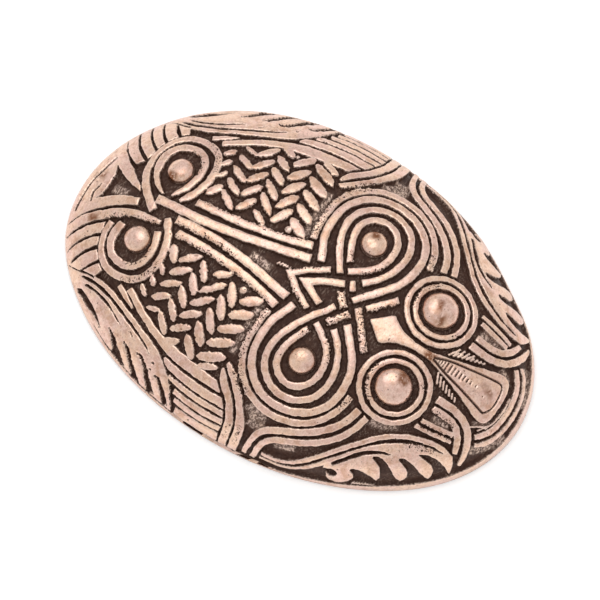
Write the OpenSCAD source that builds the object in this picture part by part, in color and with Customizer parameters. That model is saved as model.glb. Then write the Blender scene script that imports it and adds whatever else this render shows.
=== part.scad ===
// Tortoise brooch: an oval domed shell of cast bronze with raised interlace,
// hollow underneath, and a plain fastening pin across the hollow.
// +X runs along the brooch to the end with the large bosses, +Z is up,
// and the rim stands on the plane z = 0 with the origin under the crown.
//
// The ornament is drawn on a chart of the dome: how far a point lies along and
// across from the crown, in millimetres measured over the surface.

/* [Dome] */
// Half the length of the brooch
half_length = 52; // [46:0.5:58]
// Half the width of the brooch
half_width = 35.4; // [32:0.1:39]
// Height of the crown above the rim's edge
crown = 18.4; // [15:0.1:21]
// Thickness of the cast wall under the ornament
wall = 1.5; // [1.2:0.1:1.8]
// Height of the plain vertical edge at the rim
rim_edge = 1.2; // [0.8:0.1:1.6]

/* [Ornament] */
// How far the strands stand above the ground between them
relief = 1.1; // [0.8:0.1:1.4]
// How far the foot of a braid grain spreads on each side past its ridge
draft = 0.3; // [0:0.05:0.4]
// Height of the largest bosses above the strands
boss_height = 1.8; // [1:0.1:2.4]

/* [Fastening] */
// Diameter of the pin
pin_d = 2; // [1.6:0.1:2.2]
// Height of the pin's axis above the rim plane
pin_z = 3.4; // [3:0.1:3.8]
// How far in from the head end the hinge bar crosses
hinge_in = 12; // [10:0.5:14]
// How far in from the tail end the catch stands
catch_in = 12; // [12:0.5:15]
// Gap left all round the pin where something holds it
clearance = 0.3; // [0.25:0.05:0.35]

/* [Hidden] */

// Chart distance from the crown to the rim, along and across
chart_long = 59.1;
chart_side = 43.2;
// How much the chart is gathered in as the dome turns down to the rim
gather_long = 0.12;
gather_side = 0.18;
gather_power = 5;
// The outline narrows a little towards the head end
egg = -0.043;
// Shape of the section from crown to rim: fullness, then how square its shoulder
// is, each for the sides, then the change towards head less tail, then both ends
fullness = [1.97, 0.80, 0.61];
shoulder = [1.90, 0.28, -0.07];

// Where the plain lip begins, as a share of the way from crown to rim
lip_start = 0.957;
lip_sides = 48;
dome_sides = 28;
dome_rings = [0.28, 0.52, 0.72, 0.87, 0.95, 1];
brim = 0.997; // strands that run out to the rim stop at this share of the way
foot = 0.5; // how deep a strand's foot is sunk in the wall
step = 0.1; // chart distance used to find the slope of the dome
wide = 3.6; // a strand wider than this gets more facets across
wide_facets = 4;
grid = 0.001; // strands are laid out on this grid, so that their walls stay flat

function gather(amount, k) = (1 - amount * pow(k, gather_power)) / (1 - amount);
// A chart point on the plan of a dome of half length 1 and half width 1
function plan(p) = let (far = norm([p.x / chart_long, p.y / chart_side]),
                        k = min(far, brim), s = far > k ? k / far : 1)
    [s * p.x / chart_long * gather(gather_long, k),
     s * p.y / chart_side * gather(gather_side, k)];
function blend(row, c) = row[0] + row[1] * c + row[2] * c * c;
// Height of the dome, from 1 at the crown to 0 at the rim
function rise(q) = let (r = norm(q), c = r > 0 ? q.x / r : 0)
    pow(max(0, 1 - pow(min(r, 1), blend(fullness, c))), 1 / blend(shoulder, c));
// A point of the plan raised on the dome, drawn in everywhere by an inset
function on_dome(q, inset = 0) =
    [(half_length - inset) * q.x,
     (half_width - inset) * q.y * (1 + egg * q.x),
     rim_edge + (crown - inset) * rise(q)];
function unit(v) = v / norm(v);
function snap(v) = [for (c = v) round(c / grid) * grid];
function outward(p) = unit(cross(
    on_dome(plan(p + [step, 0])) - on_dome(plan(p - [step, 0])),
    on_dome(plan(p + [0, step])) - on_dome(plan(p - [0, step]))));
// A chart point on the surface that the strands' tops follow, lifted off it
function at(p, lift = 0) = on_dome(plan(p)) + lift * outward(p);

// Ornament that is the same on both sides: [width, [[along, across], ...]] or
// [0, [[along, across, width], ...]] where the width changes
LOOP = [
    [1.6, [[1.2, 5.3], [-0.8, 10], [-1.4, 15], [-0.1, 20], [2, 22.6], [5.1, 24.5], [8.9, 25.1],
           [12.6, 24.5], [15.8, 22.7], [17.9, 20.2], [19, 16], [18.6, 12.2], [16.3, 7.8],
           [12.8, 3.5]]],
    [1.4, [[5.9, 5.2], [3.1, 9.8], [1.5, 14.6], [1.5, 16.8], [2.3, 19], [3.9, 20.9], [6.2, 22.3],
           [8.9, 22.8], [11.7, 22.2], [14, 20.6], [15.4, 18.3], [15.9, 15.6], [14.7, 10.4],
           [10.9, 5.8]]],
    [1.4, [[6.5, 8.2], [4.4, 12.8], [3.9, 15.2], [4.2, 17.2], [5.4, 18.9], [7.2, 19.9],
           [9.2, 20.1], [11.2, 19.2], [12.7, 17.4], [13.2, 15], [12.9, 12.5], [10.4, 8.7],
           [7.1, 6.4]]],
    [1.3, [[-2.8, 8.8], [-3.5, 15], [-3.2, 18], [-2, 21], [-0.3, 23.3], [2.2, 25.4], [5.4, 26.8],
           [9, 27.3], [12.8, 26.8], [16.2, 25.2], [18.8, 22.6], [20.4, 19.6], [21.2, 16.2]]],
];
SWING = [
    [1.4, [[24, 17.6], [23.2, 20.4], [21.6, 23.1], [19.2, 25.5], [16.3, 27.5], [10.2, 30.4],
           [8.6, 31.6], [7.7, 33.3], [7.2, 38.6]]],
    [1.3, [[26.3, 18.2], [25.3, 21.4], [23.5, 24.6], [21, 27.2], [17.9, 29.3], [11.8, 32],
           [10.4, 33.3], [9.4, 38.4]]],
];
LEAF = [
    [1.2, [[10.8, 37], [14.2, 36.7], [17, 35.5], [19.3, 33.4], [25.3, 26.2], [28.4, 22.8],
           [32, 19.5], [36, 17.2], [40, 15.9], [44, 15.5]]],
    [1.3, [[10.8, 38.3], [15, 38.1], [18.3, 37], [20.6, 35.1], [26.3, 27.9], [29.3, 24.6],
           [32.2, 22], [35.6, 20]]],
    [0, [[34, 20.3, 2], [37, 18.8, 2.2], [41, 17.9, 2], [45, 17.3, 2.8], [48, 18.1, 2.2],
         [50, 19.6, 0.5]], 0.1],
    [0, [[33, 22, 3], [37, 20.7, 3], [40.5, 21, 2.3], [43.5, 21.7, 2.6], [45.6, 22.9, 2],
         [46.1, 24, 0.6]], 0.2],
    [0, [[31.5, 23.6, 1.6], [34.5, 23.4, 2.4], [37.3, 24, 2.6], [39.6, 25.3, 2.6],
         [40.9, 27.3, 0.8]], 0.3],
    [0, [[26.4, 31, 1.8], [28.4, 28.4, 2.8], [31.2, 27, 3.4], [33.6, 27.8, 3.4], [35.3, 29.2, 2],
         [35.7, 30.5, 0.6]], 0.1],
    [0, [[25.4, 31.4, 0.8], [28.4, 30.8, 2], [30.4, 32, 1.9], [30.4, 34, 1.4],
         [27.8, 34.4, 1]], 0.2],
];
HOOK = [
    [0, [[36.9, 7.1, 1.4], [41.6, 6.9, 1.4], [44, 7.5, 1.4], [46.2, 8.7, 1.4], [47.9, 10.5, 1.4],
         [49.2, 12.7, 1.4], [50, 15.2, 1.2], [50.5, 17, 0.4]]],
    [1.2, [[37.2, 9.3], [42, 9.2], [43.8, 9.9], [45.2, 11.2], [47.4, 15]]],
    [1, [[36.5, 12.75], [44.2, 11.8]]],
    [0.8, [[36, 14.25], [45, 13.3]]],
];
STRAP = [
    [1.6, [[-27.8, 3.8], [-20, 4.1], [-15, 4.6], [-10, 5.4], [-5, 6.5], [-1.9, 7.4]]],
];
TAIL_LOOP = [
    [0, [[-39.8, 6.8, 1.8], [-40.4, 9.4, 2], [-39.9, 11.8, 1.8], [-38.3, 13.6, 1.7],
         [-35.2, 14.4, 1.7], [-32.6, 13.7, 1.5], [-31, 11.7, 1.5], [-30.6, 9, 1.5],
         [-31.6, 5.3, 1.5]]],
    [0, [[-42.4, 7.6, 1.4], [-42.6, 10, 1.4], [-42, 12.6, 1.4], [-40.5, 15, 1.5],
         [-38.2, 16.5, 1.6], [-35, 17, 1.6], [-31.8, 16.4, 1.6], [-29.6, 14.9, 1.6],
         [-28.4, 12.5, 1.6], [-28.1, 10, 1.6], [-29.2, 5.2, 1.6], [-30.2, 3.7, 1.4]]],
];
TAIL_RIB = [
    [0, [[-42, 2, 1.7], [-48.5, 5.7, 2.2], [-54, 10.6, 2.6]]],
    [0, [[-44.5, 6.8, 1.6], [-47.5, 9.2, 2.3], [-53.6, 14.6, 2.6]]],
    [0, [[-44.4, 9.8, 1.8], [-47.3, 12, 2.3], [-52.6, 17.4, 2.4]]],
    [0, [[-43.4, 12.7, 1.6], [-50.9, 20.4, 2.2]]],
    [0, [[-42, 15.1, 1.2], [-46.6, 20.2, 1.9]]],
    [0, [[-40.2, 17.5, 1], [-42.2, 19.4, 2]]],
];
WING = [
    [0, [[-44.5, 20.6, 0.6], [-40, 20.4, 1], [-36, 20.7, 1.1], [-32, 21.8, 1.2],
         [-24, 24.9, 1.4], [-17.9, 27.6, 1.4]]],
    [0, [[-43.5, 21.9, 0.7], [-40, 21.6, 0.9], [-36, 22.2, 1], [-32, 23.6, 1.3],
         [-24, 27.4, 2.2], [-20, 29.7, 2.4]]],
    [0, [[-50, 21.8, 1.6], [-43, 23.2, 1.2], [-40, 23.6, 1.8], [-36, 25.1, 2.8],
         [-32, 26.8, 3], [-28, 28.3, 3], [-20, 30.8, 2.4]], 0.1],
    [0, [[-31.8, 29, 2], [-33, 30.8, 2.8], [-35.6, 31, 2.8], [-38.2, 29.2, 2],
         [-40.8, 27.6, 1]], 0.2],
    [0, [[-29.6, 28.9, 1.6], [-26.4, 33.2, 2.4], [-25, 35.6, 2]], 0.2],
    [0, [[-25.4, 29.3, 1.8], [-22.3, 33.6, 2.5], [-21.1, 36.3, 2.2]], 0.2],
    [0, [[-20.6, 30.6, 2.2], [-18, 34.8, 2.2], [-17.2, 37.3, 2]], 0.2],
    [0, [[-19.2, 28.9, 2.4], [-16.9, 31, 2.6], [-15.1, 33.6, 2], [-13.3, 38.4, 1.8]], 0.3],
];
BRAID_EDGE = [
    [0, [[-30.9, 18.3, 1.4], [-24, 22.4, 1.6], [-20.3, 24.1, 1.7], [-16, 25.4, 1.8],
         [-11.5, 26.4, 1.9], [-4.2, 27.5, 1.7]]],
    [0, [[-33.3, 18.7, 1], [-28.9, 21.3, 0.3]]],
];
RIDGE = [
    [0, [[-16.5, 28.4, 1.2], [-9, 29.8, 2.1], [-1.8, 30.1, 2.3]]],
    [0, [[-13.6, 31.2, 1], [-9, 32.2, 1.3], [-0.9, 32.5, 1.3]]],
    [0, [[-12.6, 33.4, 1.1], [-9, 34.1, 1.4], [-0.4, 34.3, 1.4]]],
    [0, [[-11.8, 35.6, 1.3], [-8, 36.3, 1.4], [0, 36.3, 1.4]]],
    [0, [[-11.5, 37.8, 1.4], [-8, 38.4, 1.4], [0, 38.4, 1.4]]],
];
FOLD = [
    [0, [[-4.8, 24.4, 0.9], [-3.6, 25.9, 1.8], [-1.6, 28, 2.1], [0.1, 30.8, 2.1],
         [1.2, 33.8, 2.1], [1.8, 39.2, 2.1]]],
    [0, [[-4.6, 22.2, 1], [-3.4, 23.3, 1.9], [-1.3, 25.2, 2.1], [1.1, 27.6, 2.1],
         [3, 30.4, 2.1], [4.1, 33.2, 2.1], [4.6, 39.2, 2.1]]],
];
BOTH_SIDES = concat(LOOP, SWING, LEAF, HOOK, STRAP, TAIL_LOOP, TAIL_RIB, WING, BRAID_EDGE,
                    RIDGE, FOLD);

// Ornament on the middle line, where strands pass over and under one another
NOSE = [
    [0, [[16.3, 0, 0.3], [18.2, 0, 3.2], [20.2, 0, 6.4], [21.6, 0, 4.8], [23.5, 0, 2.7],
         [27, 0, 1.5], [31, 0, 1.7], [34, 0, 3.4], [40, 0, 7.2], [45.6, 0, 11.6],
         [47.4, 0, 12], [49, 0, 9.6], [50, 0, 5.6], [50.3, 0, 1]]],
];
BROW = [
    [1.7, [[49.3, -9.6], [52.3, -6], [53.1, -3], [53.4, 0], [53.1, 3], [52.3, 6],
           [49.3, 9.6]]],
    [1.3, [[50.3, -10.9], [52.4, -9.3], [54.1, -6.8], [55.6, 0], [54.1, 6.8], [52.4, 9.3],
           [50.3, 10.9]]],
];
KNOT_MIDDLE = [
    [1.3, [[8.7, -1.5], [5.9, -5.2]]],
    [1.3, [[8.8, -5.4], [12.1, -1.4]]],
    [1.3, [[8.2, 1.8], [9.2, 0.4], [10.3, -0.9]]],
    [1.1, [[12.8, 0.6], [18.9, -6.7]]],
    [1.5, [[12.8, 3.5], [11.1, 1.4]]],
    [1.2, [[14.5, 1.4], [19.2, 6.7]]],
    [1.2, [[9, 5.2], [10.2, 3.2]]],
    [0, [[3.9, 4.8, 1.3], [0, 2.35, 1.3], [-2.9, 0, 2.1], [0, -2.4, 1.3], [3.9, -4.7, 1.3]]],
    [0, [[8, 3.8, 1.5], [4, 2, 1.6], [0.9, 0, 2.4], [3.3, -1.4, 1.6], [5.6, -2.6, 1.5]]],
];
STRAP_MIDDLE = [
    [1.8, [[-29.5, -1.4], [-20, -1.4], [-15, -1.9], [-10, -2.8], [-5, -3.9], [-0.9, -4.7]]],
    [1.8, [[-35.9, 0.8], [-25, 0.9], [-20, 1.25], [-15, 1.9], [-10, 2.8], [-5, 3.8],
           [-0.8, 4.8]]],
];
TAIL_MIDDLE = [
    [1.6, [[-42.4, 7.6], [-41.9, 5.5], [-40.8, 3.5], [-39.2, 1.6], [-35.2, -1.7]]],
    [0, [[-39.8, 6.8, 1.6], [-38.2, 4.2, 1.1], [-35.3, 2.3, 0.4]]],
    [0, [[-31.6, 5.3, 1.4], [-33.4, 2.6, 0.4]]],
    [0, [[-30.2, 3.7, 1.4], [-31.2, 2.4, 0.6]]],
    [0, [[-30.2, -3.7, 1.5], [-31.4, -2.4, 1.1], [-32.9, -0.6, 0.3]]],
    [0, [[-39, -1.6, 1.7], [-42, -2, 1.7]]],
    [0, [[-40.4, 0.8, 0.4], [-42, 2, 1.7]]],
    [0, [[-32.2, -3.6, 1], [-38, -4.1, 1.2], [-41, -5, 1.4], [-44.5, -6.8, 1.6]]],
    [0, [[-48.7, 0, 1.5], [-49.4, 0, 6], [-50.6, 0, 9.4], [-54.2, 0, 9]]],
];
ON_THE_MIDDLE = concat(NOSE, BROW, KNOT_MIDDLE, STRAP_MIDDLE, TAIL_MIDDLE);

// Rings round the large bosses: [along, across, radius, width]
RINGS = [
    [28, 9.7, 7.35, 1.1],
    [28, 9.7, 5.75, 1],
];
ring_sides = 15;
// Bosses: [along, across, radius, share of the boss height]
BOSSES = [
    [27.6, 9.6, 4, 1],
    [8.4, 14.5, 2.6, 0.7],
    [-35, 8.5, 3, 0.7],
];
boss_sides = 10;
// Sections of a boss from foot to top: [share of radius, share of height]
BOSS_SECTIONS = [[1, -0.6], [0.96, 0.15], [0.68, 0.75], [0.2, 1]];

// Columns of braid grains: [along of the first, along gained per millimetre across,
// slant of the first and the last in degrees, half length of the first and the last,
// half width, [across, ...]]
GRAINS = [
    [-6.7, -0.13, 24, 20, 2.3, 2.6, 0.95, [9.5, 12.9, 16.1, 19.4, 22.6, 24.9]],
    [-10.8, -0.19, -58, -47, 2.7, 2.5, 0.85, [9.8, 13.3, 16.8, 19.9, 23.1]],
    [-14.9, -0.15, 36, 20, 2.1, 1.9, 0.75, [7.1, 10.4, 13.8, 17.4, 20.6, 22.9]],
    [-18.6, -0.2, -55, -46, 2.2, 2.1, 0.75, [8.5, 12, 15.5, 18.4, 21.2]],
    [-22.4, -0.15, 33, 8, 2.3, 1.7, 0.7, [7.3, 10.4, 13.5, 16.9, 19.7]],
    [-26, -0.2, -60, -45, 1.6, 1.1, 0.65, [8, 11.8, 15.2, 17.7]],
];

// Tops and feet of the cross-sections of a strand through chart points with a width
function heading(p, i, closed) =
    let (n = len(p),
         a = closed ? p[(i + n - 1) % n] : p[max(i - 1, 0)],
         b = closed ? p[(i + 1) % n] : p[min(i + 1, n - 1)])
    unit([b.x - a.x, b.y - a.y]);
function section(p, i, facets, closed, drop, down) =
    let (t = heading(p, i, closed), side = [-t.y, t.x], c = [p[i].x, p[i].y], w = p[i][2],
         top = [for (j = [0:facets]) snap(at(c + side * w * (j / facets - 0.5), -drop))])
    concat(top, [top[facets] + down, top[0] + down]);

module strand(path, closed = false, drop = 0) {
    facets = max([for (p = path) p[2]]) > wide ? wide_facets : 1;
    m = facets + 3; // corners of a cross-section: the top's, then the two feet
    n = len(path);
    out = unit([for (p = path) 1] * [for (p = path) outward([p.x, p.y])]);
    down = snap(-(relief + foot) * out);
    points = [for (i = [0:n - 1]) each section(path, i, facets, closed, drop, down)];
    walls = [for (i = [0:closed ? n - 1 : n - 2], j = [0:m - 1])
        let (a = i * m + j, b = i * m + (j + 1) % m, c = (i + 1) % n * m + j,
             d = (i + 1) % n * m + (j + 1) % m)
        each [[a, b, d], [a, d, c]]];
    ends = closed ? [] : [[for (j = [m - 1:-1:0]) j], [for (j = [0:m - 1]) (n - 1) * m + j]];
    polyhedron(points, concat(walls, ends), convexity = 8);
}

// A strand as its table row gives it
module strand_row(row) {
    strand([for (p = row[1]) [p.x, p.y, len(p) == 3 ? p[2] : row[0]]],
           drop = len(row) == 3 ? row[2] : 0);
}

// The smallest convex form through some points
module wrap(points) {
    hull() polyhedron(points, [for (i = [1:len(points) - 2]) [0, i, i + 1]]);
}

module boss(row) {
    wrap([for (s = BOSS_SECTIONS, i = [0:boss_sides - 1])
        let (a = 360 * i / boss_sides, r = row[2] * s[0],
             lift = s[1] < 0 ? -relief - foot : boss_height * row[3] * s[1])
        at([row[0] + r * cos(a), row[1] + r * sin(a)], lift)]);
}

grain_ridge = 0.45; // length of a grain's ridge, as a share of the grain
grain_foot = 1.15; // length of its foot, as a share of the grain

// One braid grain: a ridge that slopes down to a pointed oval foot
module grain(along, across, slant, half_l, half_w) {
    t = [cos(slant), sin(slant)];
    s = [-t.y, t.x];
    c = [along, across];
    sunk = -relief - foot;
    wrap(concat(
        [for (k = [-1, 1]) at(c + t * half_l * grain_ridge * k)],
        [for (k = [-1, 1]) at(c + t * half_l * grain_foot * k, sunk)],
        [for (k = [-1, 1]) at(c + s * (half_w + draft) * k, sunk)]));
}

module grain_column(row) {
    last = len(row[7]) - 1;
    for (i = [0:last])
        grain(row[0] + row[1] * (row[7][i] - row[7][0]), row[7][i],
              row[2] + (row[3] - row[2]) * i / last, row[4] + (row[5] - row[4]) * i / last,
              row[6]);
}

module ring(row) {
    strand([for (i = [0:ring_sides - 1]) let (a = 360 * i / ring_sides)
        [row[0] + row[2] * cos(a), row[1] + row[2] * sin(a), row[3]]], closed = true);
}

module one_side() {
    for (row = BOTH_SIDES) strand_row(row);
    for (row = RINGS) ring(row);
    for (row = BOSSES) boss(row);
    for (row = GRAINS) grain_column(row);
}

module ornament() {
    one_side();
    mirror([0, 1, 0]) one_side();
    for (row = ON_THE_MIDDLE) strand_row(row);
}

// A closed dome drawn in by an inset, with its flat base at a height
module dome(inset, base) {
    n = dome_sides;
    rings = len(dome_rings);
    crown_point = on_dome([0, 0], inset);
    rows = [for (k = dome_rings, i = [0:n - 1])
        let (a = 360 * i / n)
        on_dome(plan(k * [chart_long * cos(a), chart_side * sin(a)]), inset)];
    foot_row = [for (i = [0:n - 1]) let (p = rows[(rings - 1) * n + i]) [p.x, p.y, base]];
    points = concat([crown_point], rows, foot_row);
    cap = [for (i = [0:n - 1]) [0, 1 + (i + 1) % n, 1 + i]];
    sides = [for (r = [0:rings - 1], i = [0:n - 1])
        let (a = 1 + r * n + i, b = 1 + r * n + (i + 1) % n)
        each [[a, b, b + n], [a, b + n, a + n]]];
    polyhedron(points, concat(cap, sides, [[for (i = [0:n - 1]) 1 + rings * n + i]]),
               convexity = 4);
}

// The plain lip round the rim, level with the strands' tops, on the wall's foot
module lip() {
    n = lip_sides;
    m = 5; // corners of a cross-section, as listed below
    points = [for (i = [0:n - 1])
        let (a = 360 * i / n, c = [chart_long * cos(a), chart_side * sin(a)],
             inner = on_dome(plan(lip_start * c)), edge = on_dome(plan(c)),
             back = on_dome(plan(lip_start * c), relief + foot), foot_in = [back.x, back.y, 0])
        each [inner, edge, [edge.x, edge.y, 0], foot_in, back]];
    polyhedron(points, [for (i = [0:n - 1], j = [0:m - 1])
        let (a = i * m + j, b = i * m + (j + 1) % m, c = (i + 1) % n * m + j,
             d = (i + 1) % n * m + (j + 1) % m)
        each [[a, d, b], [a, c, d]]], convexity = 4);
}

hinge_x = half_length - hinge_in;
catch_x = catch_in - half_length;
lug_gap = 3.2; // room between the hinge lugs
lug_t = 1.6; // thickness of each lug
lug_r = 2.4; // half the width of a lug
hole_r = pin_d / 2 + clearance;
catch_w = 6; // width of the catch along the brooch
catch_t = 1.2; // thickness of the catch's plate
bore_sides = 24;

// A lug with a bore for the hinge bar, reaching up as high as the crown
module lug(y) {
    translate([hinge_x, y + lug_t / 2, pin_z]) rotate([90, 0, 0]) linear_extrude(lug_t)
        difference() {
            union() {
                circle(r = lug_r, $fn = bore_sides);
                translate([-lug_r, 0]) square([2 * lug_r, crown - pin_z]);
            }
            circle(r = hole_r, $fn = bore_sides);
        }
}

// A plate that stands down from the wall and hooks under the pin, open to one side
module catch() {
    outer_r = hole_r + catch_t;
    translate([catch_x - catch_w / 2, 0, pin_z]) rotate([90, 0, 90]) linear_extrude(catch_w) {
        difference() {
            circle(r = outer_r, $fn = bore_sides);
            circle(r = hole_r, $fn = bore_sides);
            translate([-outer_r, 0]) square(outer_r);
        }
        translate([hole_r, 0]) square([catch_t, crown - pin_z]);
    }
}

module shell() {
    color("#b58466") union() {
        difference() {
            union() {
                dome(relief, 0);
                lip();
                ornament();
            }
            dome(relief + wall, -1);
        }
        intersection() {
            dome(relief + wall / 2, 0);
            union() {
                for (side = [-1, 1]) lug(side * (lug_gap + lug_t) / 2);
                catch();
            }
        }
    }
}

tip_l = 8; // length of the pin's tapered point
tip_d = 0.4; // how blunt the point is
past_catch = 4; // how far the point runs on past the catch
pin_sides = 32;

// The pin in one piece: hinge bar, knuckle, shaft and point
module pin() {
    bar = lug_gap + 2 * lug_t;
    knuckle = lug_gap - 2 * clearance;
    shaft = hinge_x - catch_x + catch_w / 2 + past_catch - tip_l;
    color("#a08050") translate([hinge_x, 0, pin_z]) union() {
        rotate([90, 0, 0]) {
            cylinder(d = pin_d, h = bar, center = true, $fn = pin_sides);
            cylinder(d = 2 * pin_d, h = knuckle, center = true, $fn = pin_sides);
        }
        rotate([0, -90, 0]) {
            cylinder(d = pin_d, h = shaft, $fn = pin_sides);
            translate([0, 0, shaft]) cylinder(d1 = pin_d, d2 = tip_d, h = tip_l, $fn = pin_sides);
        }
    }
}

shell();
pin();
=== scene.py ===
# %% [markdown]
# # A tortoise brooch
#
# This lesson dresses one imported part: an oval brooch, domed like a tortoise's shell, cast in
# bronze with raised bands and small knobs, and hollow underneath with a pin across the hollow.
# The real thing was cast in one piece, darkened, and then rubbed until the high places turned
# bright again. So the lesson makes one closed surface, finds out for every point of it how high
# and how near an edge it lies, and lets the materials read those numbers.
#
# The first cell loads the part as a fixed frame. Everything after it is built around that frame.

# %% Load the frame
import math

import bmesh
import bpy
import numpy as np
from mathutils import Matrix, Vector


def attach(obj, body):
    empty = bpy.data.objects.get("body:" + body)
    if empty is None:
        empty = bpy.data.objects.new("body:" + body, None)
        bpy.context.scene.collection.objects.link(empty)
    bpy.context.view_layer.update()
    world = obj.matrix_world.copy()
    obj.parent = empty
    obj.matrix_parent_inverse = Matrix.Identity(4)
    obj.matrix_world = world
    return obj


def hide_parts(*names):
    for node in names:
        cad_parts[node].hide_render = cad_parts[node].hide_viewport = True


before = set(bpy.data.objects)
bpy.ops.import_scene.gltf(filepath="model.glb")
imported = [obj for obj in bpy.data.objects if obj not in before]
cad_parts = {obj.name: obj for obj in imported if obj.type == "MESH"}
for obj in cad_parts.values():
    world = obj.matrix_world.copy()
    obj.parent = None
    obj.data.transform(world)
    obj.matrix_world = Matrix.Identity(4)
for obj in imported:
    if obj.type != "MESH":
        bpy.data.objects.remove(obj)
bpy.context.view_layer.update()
MM = 0.001  # the tables below are in millimetres, and Blender's scene is in metres

# %% [markdown]
# ## The dome and its chart
#
# A pattern that runs over a dome is hard to place by x and y, because the flanks are seen end on.
# So a maker thinks of it as laid out on leather and then pulled over the dome: a place is so many
# millimetres along and so many across from the crown, measured over the surface. The functions
# below are the same ones that shaped the solid, written for whole arrays of points at once.

# %% The dome's sizes
HALF_LENGTH = 52.0
HALF_WIDTH = 35.4
CROWN = 18.4  # height of the crown above the edge of the rim
RIM_EDGE = 1.2
WALL = 1.5
RELIEF = 1.1
BOSS_HEIGHT = 1.8

CHART_LONG = 59.1  # chart distance from crown to rim, along and across
CHART_SIDE = 43.2
GATHER_LONG = 0.12  # how much more a chart millimetre covers at the flat crown
GATHER_SIDE = 0.18
GATHER_POWER = 5
EGG = -0.043  # less than nothing makes the head end the narrower one
# Two powers shape the dome's section. Each row is the power at the sides, and what is added times
# c and times c squared, where c is 1 towards the head and -1 towards the tail.
FULLNESS = (1.97, 0.80, 0.61)
SHOULDER = (1.90, 0.28, -0.07)
STEEPEST = 0.95  # beyond this share of the way to the rim, the slope is taken as there

# The casting isn't an even oval. Degrees round from the head over the far side, spread in degrees,
# and millimetres that the rim is pressed in there. Less than nothing is a bulge.
DENTS = [(46, 9, 0.9), (75, 14, -0.3), (105, 16, -0.28), (156, 18, 1.1), (202, 10, -0.6),
         (256, 22, 0.55), (325, 12, -0.24)]
DENT_POWER = 6  # how fast a dent dies away from the rim inwards
print("Length and width:", 2 * HALF_LENGTH, 2 * HALF_WIDTH, "mm, crown", CROWN, "mm above the rim")

# %% From the chart to the dome
def gather(amount, share):
    """Chart distances count for more near the crown, where the dome lies flat."""
    return (1 - amount * share**GATHER_POWER) / (1 - amount)


def plan(u, v):
    """From chart millimetres to places on a disc whose edge is the rim."""
    share = np.hypot(u / CHART_LONG, v / CHART_SIDE)
    return u / CHART_LONG * gather(GATHER_LONG, share), v / CHART_SIDE * gather(GATHER_SIDE, share)


def blend_ends(row, c):
    return row[0] + row[1] * c + row[2] * c * c


def pressed_in(qx, qy):
    """How far the outline is pressed in, in the direction of each place."""
    bearing, depth = np.degrees(np.arctan2(qy, qx)), 0
    for middle, spread, most in DENTS:
        off = (bearing - middle + 180) % 360 - 180
        depth = depth + most * np.exp(-((off / spread) ** 2) / 2)
    return depth


def on_dome(qx, qy, inset=0.0):
    """Points of the dome over places on the disc, or of a smaller dome inside it."""
    r = np.hypot(qx, qy)
    c = np.where(r > 0, qx / np.maximum(r, 1e-9), 0)
    rise = np.maximum(0, 1 - np.minimum(r, 1) ** blend_ends(FULLNESS, c))
    rise = rise ** (1 / blend_ends(SHOULDER, c))
    x = (HALF_LENGTH - inset) * qx
    y = (HALF_WIDTH - inset) * qy * (1 + EGG * qx)
    held = 1 - pressed_in(qx, qy) * r**DENT_POWER / np.maximum(np.hypot(x, y), 1)
    return np.stack([x * held, y * held, RIM_EDGE + (CROWN - inset) * rise], -1)


def outward(u, v, step=0.1):
    """The direction that points straight away from the dome."""
    share = np.hypot(u / CHART_LONG, v / CHART_SIDE)
    held = np.minimum(1, STEEPEST / np.maximum(share, 1e-9))
    u, v = u * held, v * held
    along = on_dome(*plan(u + step, v)) - on_dome(*plan(u - step, v))
    across = on_dome(*plan(u, v + step)) - on_dome(*plan(u, v - step))
    normal = np.cross(along, across)
    return normal / np.linalg.norm(normal, axis=-1, keepdims=True)


def at(u, v, lift):
    """Points of the brooch's face, lifted off the surface that the bands' tops follow."""
    return on_dome(*plan(u, v)) + np.asarray(lift)[..., None] * outward(u, v)


print("Crown at", at(np.zeros(1), np.zeros(1), np.zeros(1))[0].round(2), "mm")

# %% [markdown]
# ## The bands
#
# The ornament is a set of flat raised bands, each with a width that may change along it. A band
# is one row: its usual width and the points it runs through, [along, across] or
# [along, across, width]. Most bands come in pairs, one on each side of the middle line, so they
# are written once. Where bands pass over and under one another, the lower one simply stops short.
#
# The first ones are the large loops on the shoulders, and the swings that run round them.

# %% Loops and swings, on both sides
LOOPS = [
    (1.6, [[1.2, 5.3], [0.4, 7.5], [-0.8, 10], [-1.3, 12.5], [-1.4, 15], [-1.1, 17.5], [-0.1, 20],
           [2, 22.6], [5.1, 24.5], [8.9, 25.1], [12.6, 24.5], [15.8, 22.7], [17.9, 20.2],
           [18.9, 17.3], [19, 14.7], [18.6, 12.2], [17.7, 9.8], [16.3, 7.8], [14.5, 5.5],
           [12.8, 3.5]]),
    (1.4, [[5.9, 5.2], [4.5, 7.4], [3.1, 9.8], [2, 12.2], [1.5, 14.6], [1.5, 16.8], [2.3, 19],
           [3.9, 20.9], [6.2, 22.3], [8.9, 22.8], [11.7, 22.2], [14, 20.6], [15.4, 18.3],
           [15.9, 15.6], [15.6, 13], [14.7, 10.4], [13.4, 8.3], [12.2, 7], [10.9, 5.8]]),
    (1.4, [[6.5, 8.2], [5.4, 10.4], [4.4, 12.8], [3.9, 15.2], [4.2, 17.2], [5.4, 18.9],
           [7.2, 19.9], [9.2, 20.1], [11.2, 19.2], [12.7, 17.4], [13.2, 15], [12.9, 12.5],
           [11.9, 10.3], [10.4, 8.7], [8.8, 7.5], [7.1, 6.4]]),
]
LOOP_BORDER = [
    (1.4, [[-2.7, 8.8], [-3.15, 11.5], [-3.3, 15], [-3, 18], [-1.9, 21], [-0.2, 23.3],
           [2.3, 25.4], [5.4, 26.8], [9, 27.3], [12.8, 26.8], [16.2, 25.2], [18.8, 22.6],
           [20.4, 19.6], [21.2, 16.2]]),
]
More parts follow.
